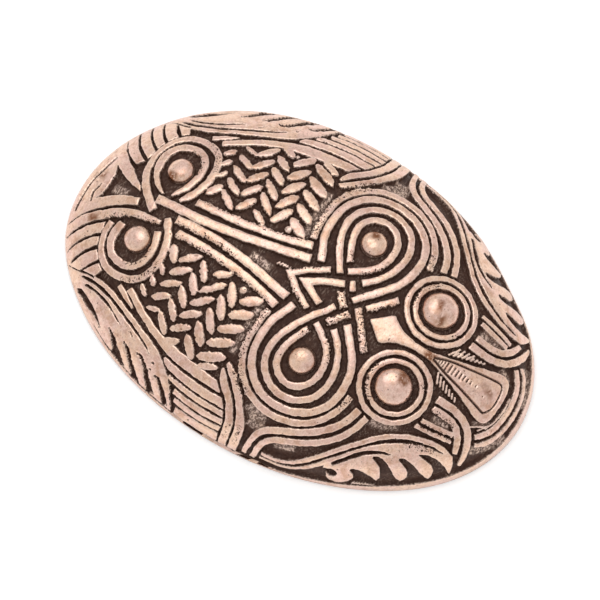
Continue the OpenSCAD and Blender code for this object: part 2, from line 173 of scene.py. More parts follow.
SWINGS = [
    (1.55, [[24, 17.6], [23.2, 20.4], [21.6, 23.1], [19.2, 25.5], [16.3, 27.5], [13, 29.1],
            [10.2, 30.4], [8.6, 31.7], [7.8, 33.3, 1.4], [7.35, 35.5, 1.25], [7.15, 39.6, 1.2]]),
    (1.45, [[26.3, 18.2], [25.3, 21.4], [23.5, 24.6], [21, 27.2], [17.9, 29.3], [14.5, 30.9],
            [11.9, 32], [10.5, 33.3], [9.65, 35.2, 1.35], [9.3, 39.6, 1.3]]),
]
print("Loops and swings:", len(LOOPS + LOOP_BORDER + SWINGS), "on each side")

# %% [markdown]
# Nearer the rim a stem runs into a curled leaf. Hooked bands lie beside the nose, and a long
# strap runs from the knot in the middle to the tail.

# %% Leaf, hooks and strap, on both sides
LEAF = [
    (1.1, [[10.8, 37.1, 0.85], [14.2, 36.9, 0.9], [17, 35.8, 1], [19.3, 33.8], [22, 30.6],
           [25, 26.8], [28, 23.4], [30, 21.2], [32.5, 19.2], [35, 17.7], [38, 16.6],
           [41, 15.9], [44, 15.75], [45.6, 16.1]]),
    (0.9, [[10.8, 38.35, 0.65], [15, 38.15, 0.7], [18.3, 37.05, 0.8], [20.6, 35.15],
           [22.6, 32.9, 1.1], [24.4, 30.6, 1.4], [26, 28.8, 1.3]]),
]
HOOKS = [
    (1.7, [[36.9, 7.1], [39.2, 7], [41.6, 7.1], [44, 7.7], [46.2, 8.9], [47.9, 10.7],
           [49.2, 12.8], [50.1, 15, 1.4], [50.6, 17.1, 0.8]]),
    (1.5, [[37.2, 9.3], [39.6, 9.2], [42, 9.4], [43.8, 10.1], [45.2, 11.3], [46.4, 13],
           [47.4, 15.2, 1.2]]),
    (1.1, [[36.5, 12.8], [40, 12.4], [44.3, 11.9]]),
    (0.9, [[35.8, 14.4], [40, 14], [44.9, 13.4]]),
]
STRAPS = [
    (1.7, [[-27.8, 3.8], [-25, 3.9], [-20, 4.1], [-15, 4.6], [-10, 5.4], [-5, 6.5],
           [-1.9, 7.4]]),
]
print("Leaf, hooks and strap:", len(LEAF + HOOKS + STRAPS), "on each side")

# %% [markdown]
# At the tail the bands make loops again, round a boss on each side. On the flank lie ridges like
# the feathers of a wing, and two folds cross their ends.

# %% Tail loops, ridges and folds, on both sides
TAIL_LOOPS = [
    (1.5, [[-39.8, 6.8, 1.8], [-40.4, 9.4, 2], [-39.9, 11.8, 1.8], [-38.3, 13.6, 1.7],
           [-35.2, 14.4, 1.7], [-32.6, 13.7], [-31, 11.7], [-30.6, 9], [-31, 6.9],
           [-31.6, 5.3]]),
    (1.6, [[-42.4, 7.6, 1.4], [-42.6, 10, 1.4], [-42, 12.6, 1.4], [-40.5, 15, 1.5],
           [-38.2, 16.5], [-35, 17], [-31.8, 16.4], [-29.6, 14.9], [-28.4, 12.5], [-28.1, 10],
           [-28.4, 7.5], [-29.2, 5.2], [-30.2, 3.7, 1.4]]),
]
BRAID_EDGES = [
    (1, [[-31, 18.3, 1.4], [-27.5, 20.5, 1.5], [-24, 22.5, 1.6], [-20.3, 24.25, 1.75],
         [-18, 25.05, 2.1], [-15, 25.9, 2.45], [-10, 26.8, 2.35], [-5, 27.4, 2.15],
         [-2.7, 27.55, 2]]),
    (1, [[-33.7, 18.6, 1.1], [-31, 20.1, 1.1], [-28.5, 21.5, 0.4]]),
]
RIDGES = [
    (1, [[-17.3, 27.4, 0.5], [-16, 28.3, 1.5], [-13.5, 29.05, 1.8], [-10.8, 29.6, 1.9],
         [-8.2, 29.95, 2], [-5.6, 30.15, 2.05], [-0.7, 30.3, 2.05]]),
    (1, [[-14.8, 30.6, 0.6], [-13.7, 31.1, 1.15], [-10.8, 31.75, 1.3], [-8.2, 32.15, 1.35],
         [-5.6, 32.35, 1.35], [0.3, 32.5, 1.35]]),
    (1, [[-12.6, 33.35, 1.15], [-9.5, 34, 1.45], [-6.9, 34.35, 1.5], [-4.3, 34.5, 1.5],
         [-1.6, 34.45, 1.4], [0.7, 34.3, 1.35]]),
    (1, [[-11.9, 35.55, 1.45], [-8.2, 36.25, 1.4], [-5.6, 36.55, 1.4], [-2.9, 36.6, 1.4],
         [0.8, 36.35, 1.4]]),
    (1, [[-11.4, 38.8, 3], [-8, 39.25, 3.1], [-4, 39.45, 3.1], [0.8, 39.2, 3.1]]),
]
FOLDS = [
    (1, [[-4.9, 23.5, 0.6], [-4.4, 24.6, 1.2], [-3.4, 26, 1.5], [-1.2, 28.4, 1.55],
         [-0.1, 30, 1.65], [1.05, 32.5, 1.7], [1.55, 34.5, 1.85], [1.7, 37, 1.95],
         [1.7, 41.5, 1.85]]),
    (1, [[-4.6, 22.2, 0.8], [-3.2, 23.2, 1.35], [-1.8, 24.5, 1.45], [0.55, 27.1, 1.4],
         [2.45, 29.9, 1.55], [3.65, 32.4, 1.95], [4.15, 34.5, 2.1], [4.25, 37, 2.15],
         [4.25, 41.5, 2.1]]),
]
PAIRS = LOOPS + LOOP_BORDER + SWINGS + LEAF + HOOKS + STRAPS + TAIL_LOOPS
PAIRS += BRAID_EDGES + RIDGES + FOLDS
print("Bands that come in pairs:", len(PAIRS))

# %% [markdown]
# The bands of the middle line are the only ones that differ from side to side, as a knot has to
# pass over itself. In these rows "across" has its own sign: plus on the far side, minus on the
# near side.

# %% Bands on the middle line
NOSE = [
    (1, [[16.3, 0, 0.2], [17.5, 0, 2.2], [18.7, 0, 4.4], [19.9, 0, 6.4], [20.6, 0, 6.6],
         [21.3, 0, 5.6], [22.4, 0, 4], [23.5, 0, 2.9], [25, 0, 2.1], [27, 0, 1.6], [29, 0, 1.5],
         [31, 0, 1.9], [34, 0, 3.4], [37, 0, 5.2], [40, 0, 7.2], [43, 0, 9.4], [45.6, 0, 11.4],
         [47, 0, 12.1], [48.2, 0, 12], [49.1, 0, 11.2], [49.7, 0, 9.6], [50.1, 0, 7],
         [50.3, 0, 1]]),
]
BROWS = [
    (1.55, [[49.2, -9.5, 1.2], [50.8, -7.9], [52.1, -5.9], [52.85, -3], [53.1, 0], [52.85, 3],
            [52.1, 5.9], [50.8, 7.9], [49.2, 9.5, 1.2]]),
    (1.2, [[50.5, -11.1, 1], [52.65, -9.4], [54.3, -6.8], [55.3, -3.5], [55.6, 0], [55.3, 3.5],
           [54.3, 6.8], [52.65, 9.4], [50.5, 11.1, 1]]),
]
KNOT = [
    (1.35, [[8.7, -1.4], [7.4, -3.4], [5.9, -5.2]]),
    (1.5, [[9, -5.2], [10.5, -3.3], [12.1, -1.3]]),
    (1.55, [[8.2, 1.9], [9.2, 0.5], [10.5, -0.9]]),
    (1.5, [[12.9, 0.7], [14.7, -1.4], [16.6, -3.9], [18.8, -6.8]]),
    (1.5, [[12.8, 3.5], [11.1, 1.4]]),
    (1.45, [[14.5, 1.4], [16.5, 3.6], [19.2, 6.7]]),
    (1.25, [[9, 5.2], [10.2, 3.2]]),
]
CHEVRONS = [
    (1.3, [[3.9, 4.8], [0, 2.35], [-2.9, 0], [0, -2.4], [3.9, -4.7]]),
    (1.5, [[8, 3.8], [4, 2], [0.8, 0], [3.3, -1.4], [5.6, -2.6]]),
]
MIDDLE_STRAPS = [
    (1.8, [[-29.5, -1.4], [-25, -1.3], [-20, -1.4], [-15, -1.9], [-10, -2.8], [-5, -3.9],
           [-0.9, -4.7]]),
    (1.8, [[-35.9, 0.8], [-30, 0.85], [-25, 0.9], [-20, 1.25], [-15, 1.9], [-10, 2.8],
           [-5, 3.8], [-0.8, 4.8]]),
]
TAIL_KNOT = [
    (1.7, [[-42.4, 7.6, 1.5], [-41.9, 5.5], [-40.8, 3.5], [-39.2, 1.6], [-37.5, 0.1],
           [-35.2, -1.7]]),
    (1, [[-39.8, 6.8, 1.6], [-39.4, 5.6, 1.3], [-38.2, 4.2, 1.1], [-36.6, 3, 0.9],
         [-35.3, 2.3, 0.4]]),
    (1, [[-31.6, 5.3, 1.4], [-32.5, 4, 1], [-33.4, 2.6, 0.4]]),
    (1, [[-30.2, 3.7, 1.4], [-31.2, 2.4, 0.6]]),
    (1, [[-30.1, -3.9, 1.6], [-30.6, -2.9, 1.7], [-31.3, -2, 1.2]]),
    (1, [[-39.2, -1.4, 1.7], [-42, -2.3, 1.8], [-45, -3.6, 1.9]]),
    (1, [[-40.4, 0.8, 0.4], [-42, 1.9, 1.2]]),
    (1, [[-32.2, -3.45, 1], [-35, -3.6, 1.35], [-38, -3.85, 1.6], [-40.2, -4.45, 1.8],
         [-43, -5.6, 2], [-45.5, -7, 2.1]]),
]
SINGLES = NOSE + BROWS + KNOT + MIDDLE_STRAPS + TAIL_KNOT
print("Bands on the middle line:", len(SINGLES + CHEVRONS))

# %% [markdown]
# The wings, the tail and the leaves are broad plates, and a plate is written as its outline. Dark
# grooves part its feathers. They are rows like the bands' own, but they take away what is there.

# %% Broad plates
WING_PLATE = [
    (-53, 21.6), (-48.5, 21), (-44.8, 20.5), (-42.4, 20), (-40.2, 19.5), (-38, 19.5),
    (-36, 19.9), (-33, 20.8), (-30, 22.1), (-27, 23.3), (-24, 24.6), (-21.5, 25.7),
    (-19.3, 26.8), (-18.2, 27.6), (-17.2, 28.7), (-16.2, 29.8), (-15, 31), (-14.2, 32.3),
    (-13.5, 34), (-13, 36), (-12.6, 38.2), (-12.4, 41.6), (-24, 40), (-36, 36), (-46, 30),
]
TAIL_PLATE = [
    (-40.9, 0.9), (-43, 1.35), (-45, 2.05), (-47, 2.9), (-48.8, 3.8), (-50.2, 4.5),
    (-50.5, 3), (-59, 3), (-58, 10.5), (-55.4, 16.6), (-52.4, 21.5), (-45, 20.2),
    (-42.4, 19.75), (-40.4, 19.4), (-39.1, 17.6), (-40.3, 16.8), (-41.4, 15.6),
    (-42.4, 14.2), (-43.1, 12.7), (-43.5, 11), (-43.6, 9.2), (-43.9, 7.9), (-44.6, 7),
    (-45.5, 6), (-45.3, 4.95), (-44.2, 4), (-43, 3.2), (-41.8, 2.4), (-41, 1.8),
]
LEAF_PLATE = [
    (24.6, 29.6), (26.4, 27.1), (28, 25.2), (30, 23.1), (32, 21.4), (34, 20), (36, 18.8),
    (38, 17.9), (40, 17.25), (42, 16.85), (44, 16.75), (45.2, 16.6), (45.6, 15.5), (47.4, 16),
    (48.7, 17.4), (49.7, 19), (50, 20.1), (48.6, 19.6), (47.4, 19), (45.6, 18.5), (44, 18.4),
    (42.4, 18.5), (41, 18.9), (40, 19.5), (40.6, 19.8), (42.5, 20), (44.5, 20.3), (45.8, 21.2),
    (46.4, 22.5), (46.4, 23.8), (45, 23.7), (43.2, 23.2), (41.3, 22.4), (39.4, 21.9),
    (38, 21.75), (37.1, 22.2), (37, 22.8), (37.6, 23), (38.4, 23.2), (39.8, 23.8),
    (40.8, 24.5), (41.4, 25.6), (41.3, 26.8), (40.8, 27.5), (39.6, 27.2), (38.3, 26.5),
    (36.8, 25.5), (35.3, 24.7), (33.9, 24.3), (32.7, 24.3), (31.9, 24.75), (31.9, 25.3),
    (32.5, 25.5), (33.2, 25.7), (34.6, 26.5), (35.6, 27.6), (36.2, 28.9), (36.1, 30.1),
    (34.7, 29.7), (33, 29.4), (31, 29.35), (30, 29.5), (29.4, 29.9), (29.4, 30.5),
    (29.9, 30.8), (30.5, 31), (31.1, 31.7), (31.2, 32.5),
    (30.8, 33.7), (30, 34.8), (28.6, 35.5), (27, 35.6), (25.9, 34.8), (25.3, 33.7), (26.2, 34.1),
    (27.1, 34.1), (27.7, 33.5), (27.6, 32.7), (26.8, 32.2), (25.8, 32.1), (24.9, 32.5),
    (24, 32.8), (23.8, 31.2),
]
TIP_PLATE = [
    (-49.6, 3.4), (-49, 2), (-48.75, 0), (-48.8, -1.4), (-49.1, -3), (-49.8, -4.1),
    (-50.6, -4.9), (-51.4, -5.6), (-52, -7), (-59, -7), (-59, 7), (-51.2, 6), (-50.3, 4.4),
]
SIDE_PLATES = [WING_PLATE, TAIL_PLATE, LEAF_PLATE]
print("Corners of the plates:", [len(plate) for plate in SIDE_PLATES + [TIP_PLATE]])

# %% Grooves
GROOVES = [
    (1, [[-44.3, 21.2, 0.45], [-43, 20.95, 0.75], [-40, 20.8, 0.8], [-37, 21.2, 0.8],
         [-34, 22, 0.75], [-31, 23.2, 0.7], [-28, 24.5, 0.65], [-25, 25.9, 0.6],
         [-22.5, 27.2, 0.4], [-20.8, 28.5, 0.15]]),
    (1, [[-42.7, 22.6, 0.4], [-41.4, 22.3, 0.65], [-38.5, 22.4, 0.7], [-35, 23.3, 0.65],
         [-32.5, 24.5, 0.5], [-31, 25.4, 0.35], [-29.8, 26, 0.15]]),
    (1, [[-45.5, 25.4, 1], [-43.5, 25.1, 2.1], [-41.5, 25.8, 2.4], [-39.5, 26.5, 2],
         [-37.8, 27.3, 1.3], [-36.4, 28.5, 0.9], [-35.3, 29.8, 0.25]]),
    (1, [[-32.6, 28.1, 0.35], [-31.6, 28.9, 0.9], [-30.7, 30, 1.3], [-30, 31.5, 1.9],
         [-29.5, 33, 3], [-29.2, 34.6, 4.2], [-29, 36, 5]]),
    (1, [[-27.6, 29.1, 0.4], [-26.6, 29.9, 0.9], [-25.6, 31.4, 1.2], [-24.8, 33, 1.4],
         [-24, 34.6, 1.8], [-23.4, 36.2, 2.3], [-22.9, 38, 2.6]]),
    (1, [[-23.9, 29.9, 0.45], [-22.7, 30, 0.8], [-21.5, 31, 1], [-20.6, 32.4, 1.3],
         [-19.8, 34.2, 1.7], [-19, 36, 2.1], [-18.4, 38.4, 2.4]]),
    (1, [[-18.1, 32.5, 0.3], [-17, 32.7, 0.7], [-16.1, 33.8, 1], [-15.3, 35.2, 1.25],
         [-14.6, 36.8, 1.5], [-14.1, 39.2, 1.8]]),
    (0.4, [[-45.1, 20.15], [-42.5, 19.8], [-40.4, 19.8]]),
    (1, [[-45, 5.3, 1], [-46.2, 5.8, 0.75], [-47.9, 6.7, 0.65], [-49.5, 7.7, 0.55],
         [-51.1, 8.8, 0.5], [-52.7, 10.1, 0.45], [-54, 11.3, 0.4], [-55.4, 12.5, 0.25]]),
    (1, [[-43.4, 7.5, 0.9], [-44.7, 8.2, 0.8], [-46.1, 9, 0.8], [-47.5, 9.9, 0.8],
         [-48.8, 10.8, 0.75], [-50.2, 12.1, 0.7], [-51.5, 13.2, 0.65], [-52.7, 14.4, 0.55],
         [-53.8, 15.4, 0.45], [-54.8, 16.3, 0.25]]),
    (1, [[-43.3, 10.9, 0.8], [-44.7, 11.7, 0.7], [-46.1, 12.7, 0.65], [-47.5, 13.8, 0.65],
         [-48.8, 15, 0.6], [-50, 16.2, 0.55], [-51.1, 17.4, 0.5], [-52.6, 19.1, 0.3]]),
    (1, [[-42.6, 13.6, 0.9], [-44.3, 14.8, 0.75], [-45.6, 16, 0.7], [-47, 17.4, 0.7],
         [-48.1, 18.7, 0.65], [-49.4, 20.2, 0.55]]),
    (1, [[-40.7, 16.1, 0.9], [-42, 17.2, 0.75], [-43.1, 18.3, 0.7], [-44.5, 19.7, 0.5]]),
]
# These run across finished bands. The first parts the leaf from its stem, the next lies just
# inside the rim, and the last parts the folds from the ends of the ridges.
LATE_GROOVES = [
    (1, [[25.2, 31, 0.9], [27.1, 28.3, 1.05], [28.8, 26.1, 1.05], [30.4, 24.65, 0.95],
         [32.7, 23.25, 0.75], [35, 22.5, 0.3]]),
    (0.9, [[-37.8, 30.7, 0.3], [-31.6, 34.3], [-24.8, 37.2], [-17.5, 39.3], [-9.8, 40.7],
           [-2, 41.3], [5.9, 41.1]]),
    (0.58, [[-4.9, 25.4, 0.4], [-4.2, 26.7], [-2, 29.05], [-1.05, 30.5], [0, 32.9],
            [0.36, 34.7], [0.45, 37], [0.5, 41.5]]),
]
print("Grooves:", len(GROOVES), "and later", len(LATE_GROOVES), "on each side")

# %% [markdown]
# ## Grains, rings and bosses
#
# Two panels are filled with a braid. Its grains lie in columns that lean one way and then the
# other, and they get smaller towards the tail, so one row describes a whole column. The rings and
# the round bosses need only a centre and a radius. All of them are the same on both sides.

# %% Grains, rings and bosses
# along, across and step of the first grain, how many, slant and half length of the first and
# of the last, half width
GRAINS = [
    (-6.7, 9.1, -0.4, 3.4, 5, 28, 24, 2.6, 3.2, 1.02),
    (-8, 24.8, 0, 0, 1, 18, 18, 2.2, 2.2, 0.72),
    (-10.9, 9.8, -0.62, 3.32, 5, -60, -50, 2.8, 2.7, 0.93),
    (-14.8, 7.1, 0, 0, 1, 28, 28, 2.1, 2.1, 0.72),
    (-15.1, 10.4, -0.65, 3.35, 5, 41, 25, 2.85, 2.1, 0.8),
    (-18.6, 8.3, -0.6, 3.25, 5, -55, -50, 2.4, 2.55, 0.8),
    (-22.5, 7.2, -0.48, 3.15, 4, 36, 24, 2.6, 2.2, 0.76),
    (-24.3, 19.6, 0, 0, 1, 14, 14, 1.7, 1.7, 0.5),
    (-26.1, 7.9, 0, 0, 1, -58, -58, 2, 2, 0.88),
    (-26.6, 11.8, -0.75, 2.7, 3, -54, -44, 1.2, 1.5, 0.58),
]
# along, across, radius of the ring's middle, width
RINGS = [(28, 9.7, 7.45, 1.15), (28, 9.7, 5.65, 1.05)]
# along, across, radius, share of the height of the largest
BOSSES = [(27.7, 9.7, 4.15, 1), (8.6, 14.6, 2.95, 0.7), (-35, 8.5, 3, 0.7)]
print("Grains on each side:", sum(row[4] for row in GRAINS))

# %% [markdown]
# ## From bands to heights
#
# A casting's surface is one skin, so the bands are not made as separate strips. They are stamped
# into a chart: for every tenth of a millimetre it holds how far inside the nearest band's edge
# that place lies, and less than nothing outside every band. A profile then turns that distance
# into a height. The profile rises steeply, and goes on rising very slightly over the band's top,
# as metal does that has been rubbed for years.

# %% A chart of edge distances
CELL = 0.1
REACH = 0.9  # distances are worked out this far from a band's outline
along_axis = np.arange(-CHART_LONG - 1, CHART_LONG + 1, CELL)
across_axis = np.arange(-CHART_SIDE - 1, CHART_SIDE + 1, CELL)
chart_u, chart_v = np.meshgrid(along_axis, across_axis)
print("The chart has", chart_u.shape, "cells of", CELL, "mm")


def empty_chart():
    return np.full(chart_u.shape, -REACH)


def window(points, margin):
    """The cells round some chart points, as a pair of slices."""
    low, high = points[:, :2].min(0) - margin, points[:, :2].max(0) + margin
    i = np.searchsorted(along_axis, [low[0], high[0]])
    j = np.searchsorted(across_axis, [low[1], high[1]])
    return slice(*j), slice(*i)


# %% A line with a width at each point
SHARPEST_MITRE = 0.4  # sharper corners are cut off, or they would stick out like thorns


def knots_of(row):
    """A row's points, each with its own width."""
    width, points = row
    return np.array([list(p) + [width] if len(p) == 2 else list(p) for p in points], float)


def flowing(row, steps=6):
    """A smooth line through a row's points."""
    knots = knots_of(row)
    first, last = 2 * knots[0] - knots[1], 2 * knots[-1] - knots[-2]
    p0, p3 = np.vstack([first, knots[:-2]]), np.vstack([knots[2:], last])
    t = np.arange(steps)[None, :, None] / steps
    a, b, c, d = (p[:, None, :] for p in (p0, knots[:-1], knots[1:], p3))
    bend = (2 * a - 5 * b + 4 * c - d) * t**2 + (3 * b - a - 3 * c + d) * t**3
    path = 0.5 * (2 * b + (c - a) * t + bend)
    return np.vstack([path.reshape(-1, 3), knots[-1]])


def sides_of(path):
    """The two outlines of a band, its corners mitred as a joiner's are."""
    runs = np.diff(path[:, :2], axis=0)
    runs /= np.linalg.norm(runs, axis=1, keepdims=True)
    before, after = np.vstack([runs[:1], runs]), np.vstack([runs, runs[-1:]])
    heading = before + after
    heading /= np.linalg.norm(heading, axis=1, keepdims=True)
    mitre = np.clip((heading * after).sum(1), SHARPEST_MITRE, 1)
    normal = np.stack([-heading[:, 1], heading[:, 0]], 1) * (path[:, 2] / 2 / mitre)[:, None]
    return path[:, :2] + normal, path[:, :2] - normal


print("The first loop's", len(LOOPS[0][1]), "points are drawn as", len(flowing(LOOPS[0])))

# %% Stamp a band into a chart
def off_line(a, b, u, v):
    """How far places lie from the straight line between two points."""
    run = b - a
    share = ((u - a[0]) * run[0] + (v - a[1]) * run[1]) / max(run @ run, 1e-9)
    share = np.clip(share, 0, 1)
    return np.hypot(u - a[0] - share * run[0], v - a[1] - share * run[1])


def stamp(chart, path):
    """Writes how far inside a band each cell lies. The band's ends are square."""
    left, right = sides_of(path)
    within = np.zeros(chart.shape, bool)
    for i in range(len(path) - 1):
        corners = np.array([left[i], left[i + 1], right[i + 1], right[i]])
        cells = window(corners, CELL)
        u, v = chart_u[cells], chart_v[cells]
        piece = np.ones(u.shape, bool)
        for a, b in zip(corners, np.roll(corners, -1, 0)):
            piece &= (b[0] - a[0]) * (v - a[1]) <= (b[1] - a[1]) * (u - a[0])
        within[cells] |= piece
    gap = np.full(chart.shape, REACH)
    outline = np.vstack([left, right[::-1], left[:1]])
    for a, b in zip(outline[:-1], outline[1:]):
        cells = window(np.array([a, b]), REACH)
        off = off_line(a, b, chart_u[cells], chart_v[cells])
        gap[cells] = np.minimum(gap[cells], off)
    whole = window(outline, REACH)
    inside = np.where(within[whole], gap[whole], -gap[whole])
    chart[whole] = np.maximum(chart[whole], inside)


def stamp_all(chart, rows, both_sides=True, line=flowing):
    for row in rows:
        path = line(row)
        stamp(chart, path)
        if both_sides:
            stamp(chart, path * [1, -1, 1])


# %% Stamp a plate, and cut grooves
def stamp_plate(chart, corners):
    """Writes how far inside a closed outline each cell lies."""
    outline = np.array(corners + corners[:1], float)
    whole = window(outline, REACH)
    u, v = chart_u[whole], chart_v[whole]
    within, gap = np.zeros(u.shape, bool), np.full(u.shape, REACH)
    for a, b in zip(outline[:-1], outline[1:]):
        rise = b[1] - a[1] or 1e-9
        crossing = a[0] + (v - a[1]) * (b[0] - a[0]) / rise
        within ^= ((a[1] > v) != (b[1] > v)) & (u < crossing)
        gap = np.minimum(gap, off_line(a, b, u, v))
    chart[whole] = np.maximum(chart[whole], np.where(within, gap, -gap))


def stamp_plates(chart, outlines):
    """Stamps each outline on both sides."""
    for side in (-1, 1):
        for outline in outlines:
            stamp_plate(chart, [(u, side * v) for u, v in outline])


def cut_into(chart, grooves):
    """Takes a chart of grooves away from a chart of bands."""
    return np.minimum(chart, np.maximum(-grooves, -REACH))


# %% The chart of the whole pattern
plates, grooves, late_grooves = empty_chart(), empty_chart(), empty_chart()
stamp_plates(plates, SIDE_PLATES)
stamp_plate(plates, TIP_PLATE)
stamp_all(grooves, GROOVES)
edge = cut_into(plates, grooves)
stamp_all(edge, PAIRS)
stamp_all(edge, SINGLES, both_sides=False)
stamp_all(edge, CHEVRONS, both_sides=False, line=knots_of)
stamp_all(late_grooves, LATE_GROOVES)
edge = cut_into(edge, late_grooves)
print("Share of the chart inside bands and plates:", round(float((edge > 0).mean()), 3))

# %% Rings
for u, v, radius, width in RINGS:
    for side in (-1, 1):
        off = np.abs(np.hypot(chart_u - u, chart_v - side * v) - radius)
        edge = np.maximum(edge, np.maximum(width / 2 - off, -REACH))
print("With the rings:", round(float((edge > 0).mean()), 3))

# %% [markdown]
# A grain is a rod that is fullest in the middle and draws in to a rounded tip at each end. One
# power sets how long it stays full, and the other how blunt the tips are.

# %% Grains of the braid
GRAIN_FULLNESS = 2.6
GRAIN_BLUNTNESS = 0.6

for u0, v0, du, dv, count, slant0, slant1, half0, half1, half_width in GRAINS:
    for i in range(count):
        f = i / max(count - 1, 1)
        slant = math.radians(slant0 + (slant1 - slant0) * f)
        half = half0 + (half1 - half0) * f
        for side in (-1, 1):
            centre = np.array([[u0 + du * i, side * (v0 + dv * i)]])
            t = np.array([math.cos(slant), -side * math.sin(slant)])
            cells = window(centre, half + REACH)
            u, v = chart_u[cells] - centre[0, 0], chart_v[cells] - centre[0, 1]
            s, d = (u * t[0] + v * t[1]) / half, np.abs(v * t[0] - u * t[1])
            taper = np.maximum(1 - np.abs(s) ** GRAIN_FULLNESS, 0) ** GRAIN_BLUNTNESS
            past = np.hypot(d, (np.abs(s) - 1) * half)
            inside = np.where(np.abs(s) < 1, half_width * taper - d, -past)
            edge[cells] = np.maximum(edge[cells], np.maximum(inside, -REACH))
print("With the grains:", round(float((edge > 0).mean()), 3))

# %% [markdown]
# ## Hand-cut edges
#
# The master for a casting like this was carved by hand, so no edge runs quite true. A smooth
# random chart moves every edge by a few hundredths of a millimetre. Where the metal is pitted the
# edges wander more, and those places are laid down as broad soft strokes of their own.

# %% Random charts
def ease(t):
    return t * t * (3 - 2 * t)


def cloud(size, seed):
    """A smooth random chart from -1 to 1, with spots about this many millimetres wide."""
    x, y = (along_axis - along_axis[0]) / size, (across_axis - across_axis[0]) / size
    lattice = np.random.default_rng(seed).uniform(-1, 1, (int(y[-1]) + 3, int(x[-1]) + 3))
    i, j, fx, fy = x.astype(int), y.astype(int), ease(x % 1), ease(y % 1)[:, None]
    rows = lattice[:, i] * (1 - fx) + lattice[:, i + 1] * fx
    return rows[j] * (1 - fy) + rows[j + 1] * fy


print("A random chart fills", len(along_axis), "by", len(across_axis), "cells")

# %% Where the metal is pitted
PITTED_PAIRS = [
    (2, [[-3.3, 9], [-3.8, 13], [-3.8, 17], [-2.8, 21], [-0.6, 24.2], [2, 26.4]]),
    (0.8, [[-28, 4.5], [-20, 4.9], [-10, 6.2], [-3.4, 7.6]]),
    (0.9, [[-31.2, 9], [-31.8, 11.9], [-33.6, 13.4], [-35.5, 13.8]]),
    (0.9, [[-28.2, 11], [-29, 13.8], [-31, 16], [-34, 17.4]]),
    (1, [[20.2, 19.6], [21.4, 16]]),
    (1, [[9.6, 7.4], [12.4, 9.6], [13.6, 12.6]]),
    (1, [[7, 8], [5.6, 10.6]]),
    (0.9, [[22.4, 7], [22, 9.7], [22.6, 12.6], [25, 15]]),
    (1, [[33.8, 7.2], [32.6, 6]]),
]
PITTED_MIDDLE = [
    (1, [[-29, -2.2], [-20, -2.1], [-14, -2.8]]),
    (1.3, [[-45, -7.6], [-42, -6.1], [-38, -4.7], [-32.6, -4]]),
    (1.6, [[13.2, 0.8], [15.6, -2], [18.4, -6], [19.4, -7]]),
    (1.5, [[8.6, -5.6], [12.2, -1.2]]),
    (1.1, [[37, -9.9], [40, -9.9], [43.4, -10.2]]),
    (1.1, [[15.2, 0.8], [19.8, 5.8]]),
    (1.6, [[7.8, 2.2], [10.6, -1.2]]),
    (1, [[-3.6, 0.6], [-1, 2.6], [2, 4.2]]),
    (1, [[-2.9, -1], [0, -3.2], [3.4, -5.2]]),
    (1.2, [[31.4, -7.6], [31.9, -9.7], [31.2, -12.2]]),
    (1.2, [[36, -19.2], [40, -17.7], [44, -17.2]]),
    (1.2, [[36, -13.5], [40.4, -13.2], [44.6, -12.6]]),
    (0.9, [[-33, -6.2], [-35, -5.6], [-37.4, -6.6]]),
    (0.7, [[1.5, -33.4], [1.7, -38]]),
    (0.8, [[4, -33], [4.3, -38.4]]),
]
print("Pitted strokes:", 2 * len(PITTED_PAIRS) + len(PITTED_MIDDLE))

# %% [markdown]
# Some of the ground was left rough, and was rubbed half bare. In other places the patina was
# rubbed thin but not away, which leaves brown stains. The brown patches on the two large bosses
# are a painted reflection of something dark. The braid's grains and the wings' grooves are
# frayed all over, as the graver's strokes left them.

# %% Where it is rough, stained and frayed
ROUGH_PAIRS = [
    (3.4, [[3.8, 27.4], [5.8, 28.8], [6.6, 30.4], [6.4, 32.4]]),
    (1.2, [[-4.6, 8.6], [-5, 12], [-5, 20]]),
]
ROUGH_SINGLES = [
    (2.6, [[52.8, 12.8], [55, 9], [57, 4]]),
    (2.6, [[51.2, -12.8], [54.8, -9.6], [57, -4.4]]),
    (2.2, [[38, 10.9], [41, 10.9], [43.6, 11]]),
    (1.6, [[38.6, -11.1], [42.6, -10.9]]),
    (1.8, [[-47.6, -0.6], [-43.4, -0.8]]),
    (1.6, [[27.4, -18.4], [30, -18], [33, -16.6]]),
    (1.8, [[12.4, -33.6], [16.6, -32.2]]),
    (1.8, [[-9.9, -7.4], [-8.8, -8.2]]),
    (1.6, [[46.4, 7.2], [49.6, 6]]),
    (1.4, [[-12, -0.4], [-7, -1.2]]),
    (1, [[47.4, -7.4], [50.4, -4.6]]),
]
BRAID_PANEL = [(-29, 6), (-20, 5.8), (-4, 8), (-4, 23.6), (-9, 25.6), (-18, 23), (-29, 17.6)]
WING_PANEL = [(-33, 27), (-23, 29.2), (-13, 30.4), (-11.4, 38), (-15, 40), (-33, 36)]
STAINS_AND_BOSS_REFLECTIONS = [
    # The first three rows are a painted reflection of something dark on the two large bosses.
    (2.4, [[27.6, -7.4], [28.8, -7.2], [29.8, -7.6]]),
    (1.9, [[28.4, 7.2], [29.4, 7.4]]),
    (1, [[27.4, 8.6], [26.8, 11]]),
    (1.6, [[29.6, 0], [32, 0]]),
    (1.4, [[-46.6, -7.8], [-48.4, -8.8]]),
    (2.4, [[7.2, 15.8], [8.6, 16.6]]),
    (1.8, [[-36.6, 6.2], [-34.6, 6]]),
    (1, [[44, 1.2], [47, 0.4]]),
    (1.4, [[-51.4, 1.6], [-53, 0.4]]),
]
print("Rough strokes:", 2 * len(ROUGH_PAIRS) + len(ROUGH_SINGLES), "stains:", len(STAINS_AND_BOSS_REFLECTIONS))

# %% Soft strokes, and edges that wander
SOFT_OUTSIDE = 0.4  # a stroke starts this far outside its edge
SOFT_BORDER = 0.6  # and is full this much further in
PANEL_FRAY = 0.6  # how frayed the two panels are, where pitted metal is 1
PANEL_OUTSIDE = 0.5  # the fraying starts this far outside a panel
# how far an edge wanders in broad waves, in fine waves, and in frayed places
BROAD_WAVES, FINE_WAVES, FRAYED_WAVES = 0.09, 0.07, 0.28


